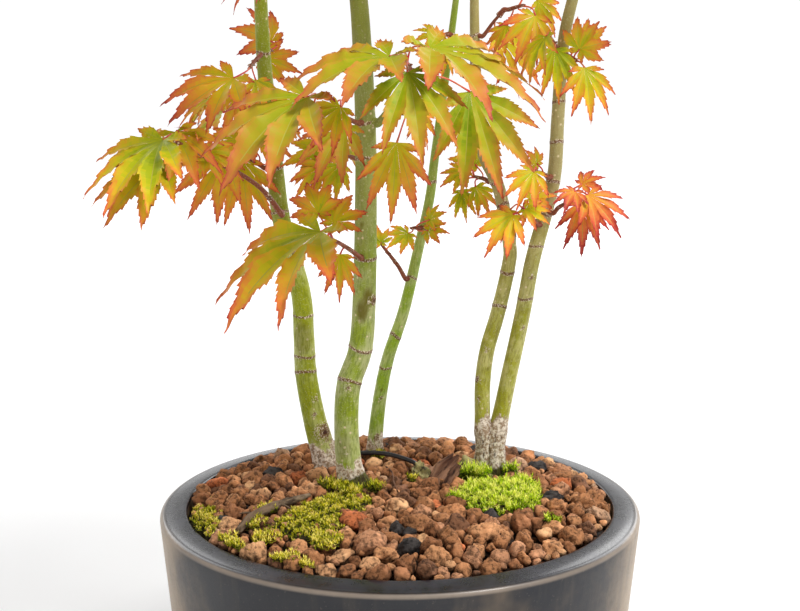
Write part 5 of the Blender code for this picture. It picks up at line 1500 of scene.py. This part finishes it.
def lobe_sheet(rng, turn, reach, halves, stations):
    """Flat lobe: distance from the stalk and angle of each point, and where in the lobe it lies."""
    t = np.linspace(0.004, 1.0, stations) ** 0.94
    ahead = t * reach
    half = belly(t) * (LOBE_WIDTH * reach ** 0.6 * rng.uniform(0.94, 1.07))
    sectors = [ahead * math.tan(math.radians(limit)) for limit in halves]
    limits = [np.minimum(half, sector)[:, None] for sector in sectors]
    u = COLUMNS * np.ones((stations, 1))
    across = np.where(u < 0, u * limits[0], u * limits[1])
    along = ahead[:, None] * np.ones_like(u)
    step = reach / stations
    odd = np.arange(stations) % 2 == 1
    for column, sector in ((0, sectors[0]), (8, sectors[1])):
        tooth = (half < sector) & (t < 0.95)
        size = rng.uniform(0.75, 1.20, stations)
        across[:, column] *= np.where(tooth, np.where(odd, 1 + 0.10 * size, 0.93), 1.0)
        along[:, column] += np.where(tooth, np.where(odd, 0.80 * step * size, -0.30 * step), 0)
    along -= u ** 2 * 0.16 * np.where(t > 0.4, half, 0)[:, None]
    across = across + (0.012 * np.sin(t * 5 + rng.uniform(0, 6.28)) * t)[:, None]
    return np.hypot(along, across), math.radians(turn) + np.arctan2(across, along), u, t[:, None]


def leaf_points(rng, foot, tip, facing, stations, droop):
    """Points of the seven lobes in space, with the column and station of each."""
    length = (tip - foot).length
    along = (tip - foot).normalized()
    up = bearing(*facing)
    up = up - along * up.dot(along)
    if up.length < 0.05:
        up = along.orthogonal()
    up.normalize()
    ways = np.array([along, up.cross(along), up])
    fold = 1.0 - LEAF_FOLD * max(0.0, -along.z)
    sheets = []
    for hand, turn, reach, *halves in [(1, *lobe) for lobe in LOBES] + [(-1, *lobe) for lobe in LOBES[1:]]:
        rows = max(6, int(round(stations * (0.42 + 0.58 * reach))))
        tilt, hang = rng.normal(0, 0.11), rng.normal(0.0, 0.03)
        r, phi, u, t = lobe_sheet(rng, turn * hand, reach, halves[::hand], rows)
        phi = phi * fold
        lift = LEAF_ARCH * 4 * r * (1 - r) - LEAF_DROOP * (r * np.sin(phi)) ** 2
        free = np.clip((t - 0.15) / 0.30, 0, 1)
        curl = LOBE_WIDTH * reach ** 0.6 * belly(t) * (0.30 * (np.abs(u) ** 1.5 - 0.25) + tilt * u)
        lift = lift + free * curl + hang * r * r
        lift = lift + 0.012 * np.sin(t * 34 + rng.uniform(0, 6)) * np.abs(u) * free
        points = np.array(foot) + np.stack([np.cos(phi) * r, np.sin(phi) * r, lift], axis=2) @ ways * length
        points[:, :, 2] -= droop * length * r ** 2.5
        sheets.append((points, u, t))
    return sheets


print("leaf shape is ready")

# %% [markdown]
# ## Autumn tints
# The leaves turn from the edge inwards: lime along the midribs, then gold, and orange to rose at
# the margins and tips. A gradient texture would have to be baked for export and would smear over
# so many small faces, so plain finishes are dealt out face by face instead, by how far a
# face lies towards the margin and the tip, and by how far its spray has turned. The large leaves
# of the two front sprays take a darker copy of the tints, as painted shade.

# %% Leaf colours
TURNING = ((138, 154, 8), (172, 180, 14), (200, 184, 24), (214, 168, 38), (220, 144, 50),
           (218, 118, 60), (204, 92, 56), (168, 56, 46))
# A darker copy of the tints, as painted shade on the large leaves of the two front sprays.
SHADED_FRONT_TURNING = ((122, 144, 8), (148, 160, 14), (166, 158, 24), (180, 146, 36), (192, 130, 46),
                 (194, 112, 56), (184, 90, 54), (156, 60, 46))
STEPS = 20
RIB_TINT = (172, 166, 66)
FRONT_SPRAYS = ("spray_b_front", "spray_b_left")
SMALL_TURNED = {"spray_b_low": 0.28, "spray_b_left": 0.22, "spray_a_left": 0.24}


def tint_run(keys):
    """The key colours with even steps between them."""
    places = np.linspace(0, len(keys) - 1, STEPS)
    return list(zip(*[np.interp(places, range(len(keys)), channel) for channel in zip(*keys)]))


leaf_finishes = [finish("leaf_tint_%d" % k, colour=srgb(*tint), roughness=0.52, specular=0.20)
                 for k, tint in enumerate(tint_run(TURNING) + tint_run(SHADED_FRONT_TURNING) + [RIB_TINT])]


def paint_lobe(rng, u, t, turned, front, ribbed):
    """A finish number for each face of a lobe."""
    mid_u = np.abs(u[:-1, :-1] + u[:-1, 1:]) / 2
    mid_t = (t[:-1] + t[1:]) / 2
    edge = np.clip((mid_u - 0.40) / 0.50, 0, 1)
    value = turned - 0.05 + rng.normal(0, 0.05) + 0.66 * mid_t ** 2.0
    value = value + 0.25 * edge ** 1.3 * (0.35 + 0.65 * mid_t)
    blotch = np.sin(mid_t * rng.uniform(3, 5) + rng.uniform(0, 6)) * np.sin(mid_u * 3 + rng.uniform(0, 6))
    value = value + 0.06 * blotch + 0.012 * np.sin(mid_t * 60 - mid_u * 9) + rng.normal(0, 0.022, value.shape)
    value = np.where(mid_u < 0.04, value - 0.06, value)
    # Large front leaves take the darker copy of the tints: painted shade.
    tone = np.clip((value * (STEPS - 1)).round(), 0, STEPS - 1).astype(int) + STEPS * front
    return np.where((mid_u < 0.04) & (mid_t < 0.72) & ribbed, 2 * STEPS, tone)


# %% [markdown]
# ## Growing the leaves
# A crown has some hundred and sixty leaves. Each could be an object of its own, or an instance of
# one leaf, but no two hang alike, so each is grown by itself and then joined into a few large
# pieces, by the stem that carries them.

# %% Grow the leaves
SMALL_LEAF = 0.035
LARGE_LEAF = 0.030


def sprays_of(table, stems):
    """The names of the sprays of a table that grow on some stems, given by their letters."""
    return [row[0] for row in table if row[0][6] in stems]


PIECES = {
    "leaves_front": ("spray_b_front", "spray_b_left", "spray_b_low", "spray_b_right", "spray_b_back"),
    "leaves_left": sprays_of(SPRAYS, "ac"), "leaves_right": sprays_of(SPRAYS, "de"),
    "leaves_crown_left": sprays_of(GROWN_SPRAYS, "a"),
    "leaves_crown_middle": sprays_of(GROWN_SPRAYS, "b"),
    "leaves_crown_right": sprays_of(GROWN_SPRAYS, "cde"),
}
SEED_OF = {row[0]: row[-1] for row in GROWN_SPRAYS}
TURNED = {row[0]: row[6] for row in SPRAYS}
TURNED.update({name: 0.14 + 0.028 * (seed % 9) for name, seed in SEED_OF.items()})


def grow_leaf(heap, rng, leaf, turned, front, hero):
    """Adds one leaf: its lobes and their tints; a hero is near the viewer and has finer lobes."""
    _, foot, tip, facing = leaf
    size = (tip - foot).length / MM
    stations = int(np.clip(size * 0.72, 15, 40) if hero else np.clip(size * 0.6, 13, 24))
    droop = rng.uniform(0.04, 0.10) if hero else rng.uniform(0.06, 0.14)
    for points, u, t in leaf_points(rng, foot, tip, facing, stations, droop):
        index = np.arange(u.size).reshape(u.shape)
        quads = np.stack([index[:-1, :-1], index[:-1, 1:], index[1:, 1:], index[1:, :-1]], axis=2)
        heap.add(points.reshape(-1, 3), quads.reshape(-1, 4),
                 paint_lobe(rng, u, t, turned, front, hero).ravel())


for piece_name, sprays in PIECES.items():
    heap = Heap()
    for spray in sprays:
        rng = np.random.default_rng(1000 + 7 * len(spray) + SEED_OF.get(spray, len(LEAVES[spray])))
        for leaf in LEAVES[spray]:
            length = (leaf[2] - leaf[1]).length
            turned = TURNED[spray] + rng.normal(0, 0.04)
            if length < SMALL_LEAF:
                turned = SMALL_TURNED.get(spray, turned)
            grow_leaf(heap, rng, leaf, turned, spray in FRONT_SPRAYS and length > LARGE_LEAF,
                      spray not in SEED_OF)
    dress(heap.object(piece_name, leaf_finishes), "foliage", *sprays)

# %% [markdown]
# ## Twigs and leaf stalks
# The twigs are brown-red with a swelling and a pair of buds where leaves stand. The stalks are
# thin, smooth and rose-red, thick where they leave the twig, and bend to let the blade hang. They
# could be bevelled curves, but the limb sweep is at hand, and it tapers them as it goes.

# %% Grow the twigs and stalks
stalk_skin = finish("leaf_stalk", roughness=0.42, specular=0.4)
blush = Shade(stalk_skin.node_tree).place().noise(120, 3)
feed(stalk_skin, base_color=blush.ramp(0.36, 0.64).mix(srgb(206, 58, 62), srgb(208, 112, 70)))


def bud(heap, place, ahead, size):
    """A small pointed bud."""
    line = [place + ahead * size * k / 5 for k in range(6)]
    sweep(heap, line, [size * r for r in (0.20, 0.31, 0.30, 0.22, 0.12, 0.02)], 7, marks=limb_marks)


for group, table in (("twigs_low", SPRAYS), ("twigs_crown", GROWN_SPRAYS)):
    heap = Heap()
    for spray, *_ in table:
        rows, normal = ROWS[spray]
        line, radii = rooted(rows, normal, TWIG_ROOT, 6)
        sweep(heap, line, radii, 12, limb_relief, marks=limb_marks)
        end = rows[-1][0]
        ahead = (end - rows[-2][0]).normalized()
        bud(heap, end - ahead * 0.0003, ahead, BUD_LENGTH)
        side = ahead.cross(UP).normalized()
        for share in (0.45, 0.75):
            for hand in (1, -1):
                place = along_path(rows, share) + side * hand * 0.0007
                bud(heap, place, (ahead * 0.8 + side * hand).normalized(), SIDE_BUD_LENGTH)
        for start, foot, tip, _ in LEAVES[spray]:
            back = min(0.30 * (start - foot).length, 0.004)
            bend = foot.lerp(start, 0.42) - (tip - foot).normalized() * back
            bend.z += -0.0008 if foot.z < start.z else 0.0010
            path = curve_through([start, bend, foot], 6)
            sizes = np.interp(np.linspace(0, 1, len(path)), (0, 0.12, 0.3, 0.85, 1),
                              (0.00075, 0.00052, 0.00040, 0.00040, 0.00055))
            sweep(heap, path, sizes, 8, paint=1, marks=limb_marks)
    dress(heap.object(group, [BARKS["young_bark"], stalk_skin]), "young_bark")

# %% [markdown]
# ## The room
# The plant stands on a plain white floor in a white room, whose wall curves up far behind. A dome
# of light comes from all around, as in a light tent, a soft lamp high on the right gives the
# stems their round look, and two more behind put a sheen on the rim. The floor glows more the
# further it is from the lamps, so it stays evenly white. A sun would be quicker, but it throws
# hard shadows through so many small leaves.

# %% Floor and light
FLOOR_SIDES = 96
FLOOR_REACH = 24
CURVE_UP = 6
bend = np.linspace(0.1, math.pi / 2, 10)
reach = np.concatenate([[0.02], np.linspace(0.2, FLOOR_REACH, 12), FLOOR_REACH + CURVE_UP * np.sin(bend)])
level = np.concatenate([np.zeros(13), CURVE_UP * (1 - np.cos(bend))])
heap = Heap()
heap.add(rings(reach, level, FLOOR_SIDES).reshape(-1, 3), ring_faces(len(reach), FLOOR_SIDES))
heap.cap(0, -FLOOR_SIDES)
white = finish("white_floor", colour=(0.60, 0.60, 0.60), roughness=0.9, specular=0.1)
white.node_tree.nodes["Principled BSDF"].inputs["Emission Strength"].default_value = 1.0
away = Shade(white.node_tree).place().vector("LENGTH", output=1)
feed(white, emission_color=away.ramp(0.2, 1.8).mix((0.34, 0.34, 0.34), (0.74, 0.74, 0.74)))
heap.object("floor", [white])

world = bpy.data.worlds.new("light_tent")
bpy.context.scene.world = world
world.use_nodes = True
world.node_tree.nodes["Background"].inputs["Color"].default_value = (1.0, 1.0, 1.0, 1.0)
world.node_tree.nodes["Background"].inputs["Strength"].default_value = 0.46

# square softboxes that face the middle of the plant: place, width and power
for name, place, size, power in (("key_softbox", (0.9, -0.6, 1.7), 0.5, 32),
                                 ("back_left_softbox", (-0.9, 1.2, 1.0), 0.9, 8),
                                 ("back_right_softbox", (0.9, 1.25, 0.9), 0.9, 11)):
    facing = (Vector((0, 0, 0.25)) - Vector(place)).to_track_quat("-Z", "Y").to_euler()
    lamp = put(name, bpy.data.lights.new(name, "AREA"), place, facing)
    lamp.data.size = size
    lamp.data.energy = power
bpy.context.scene.view_settings.view_transform = "Standard"
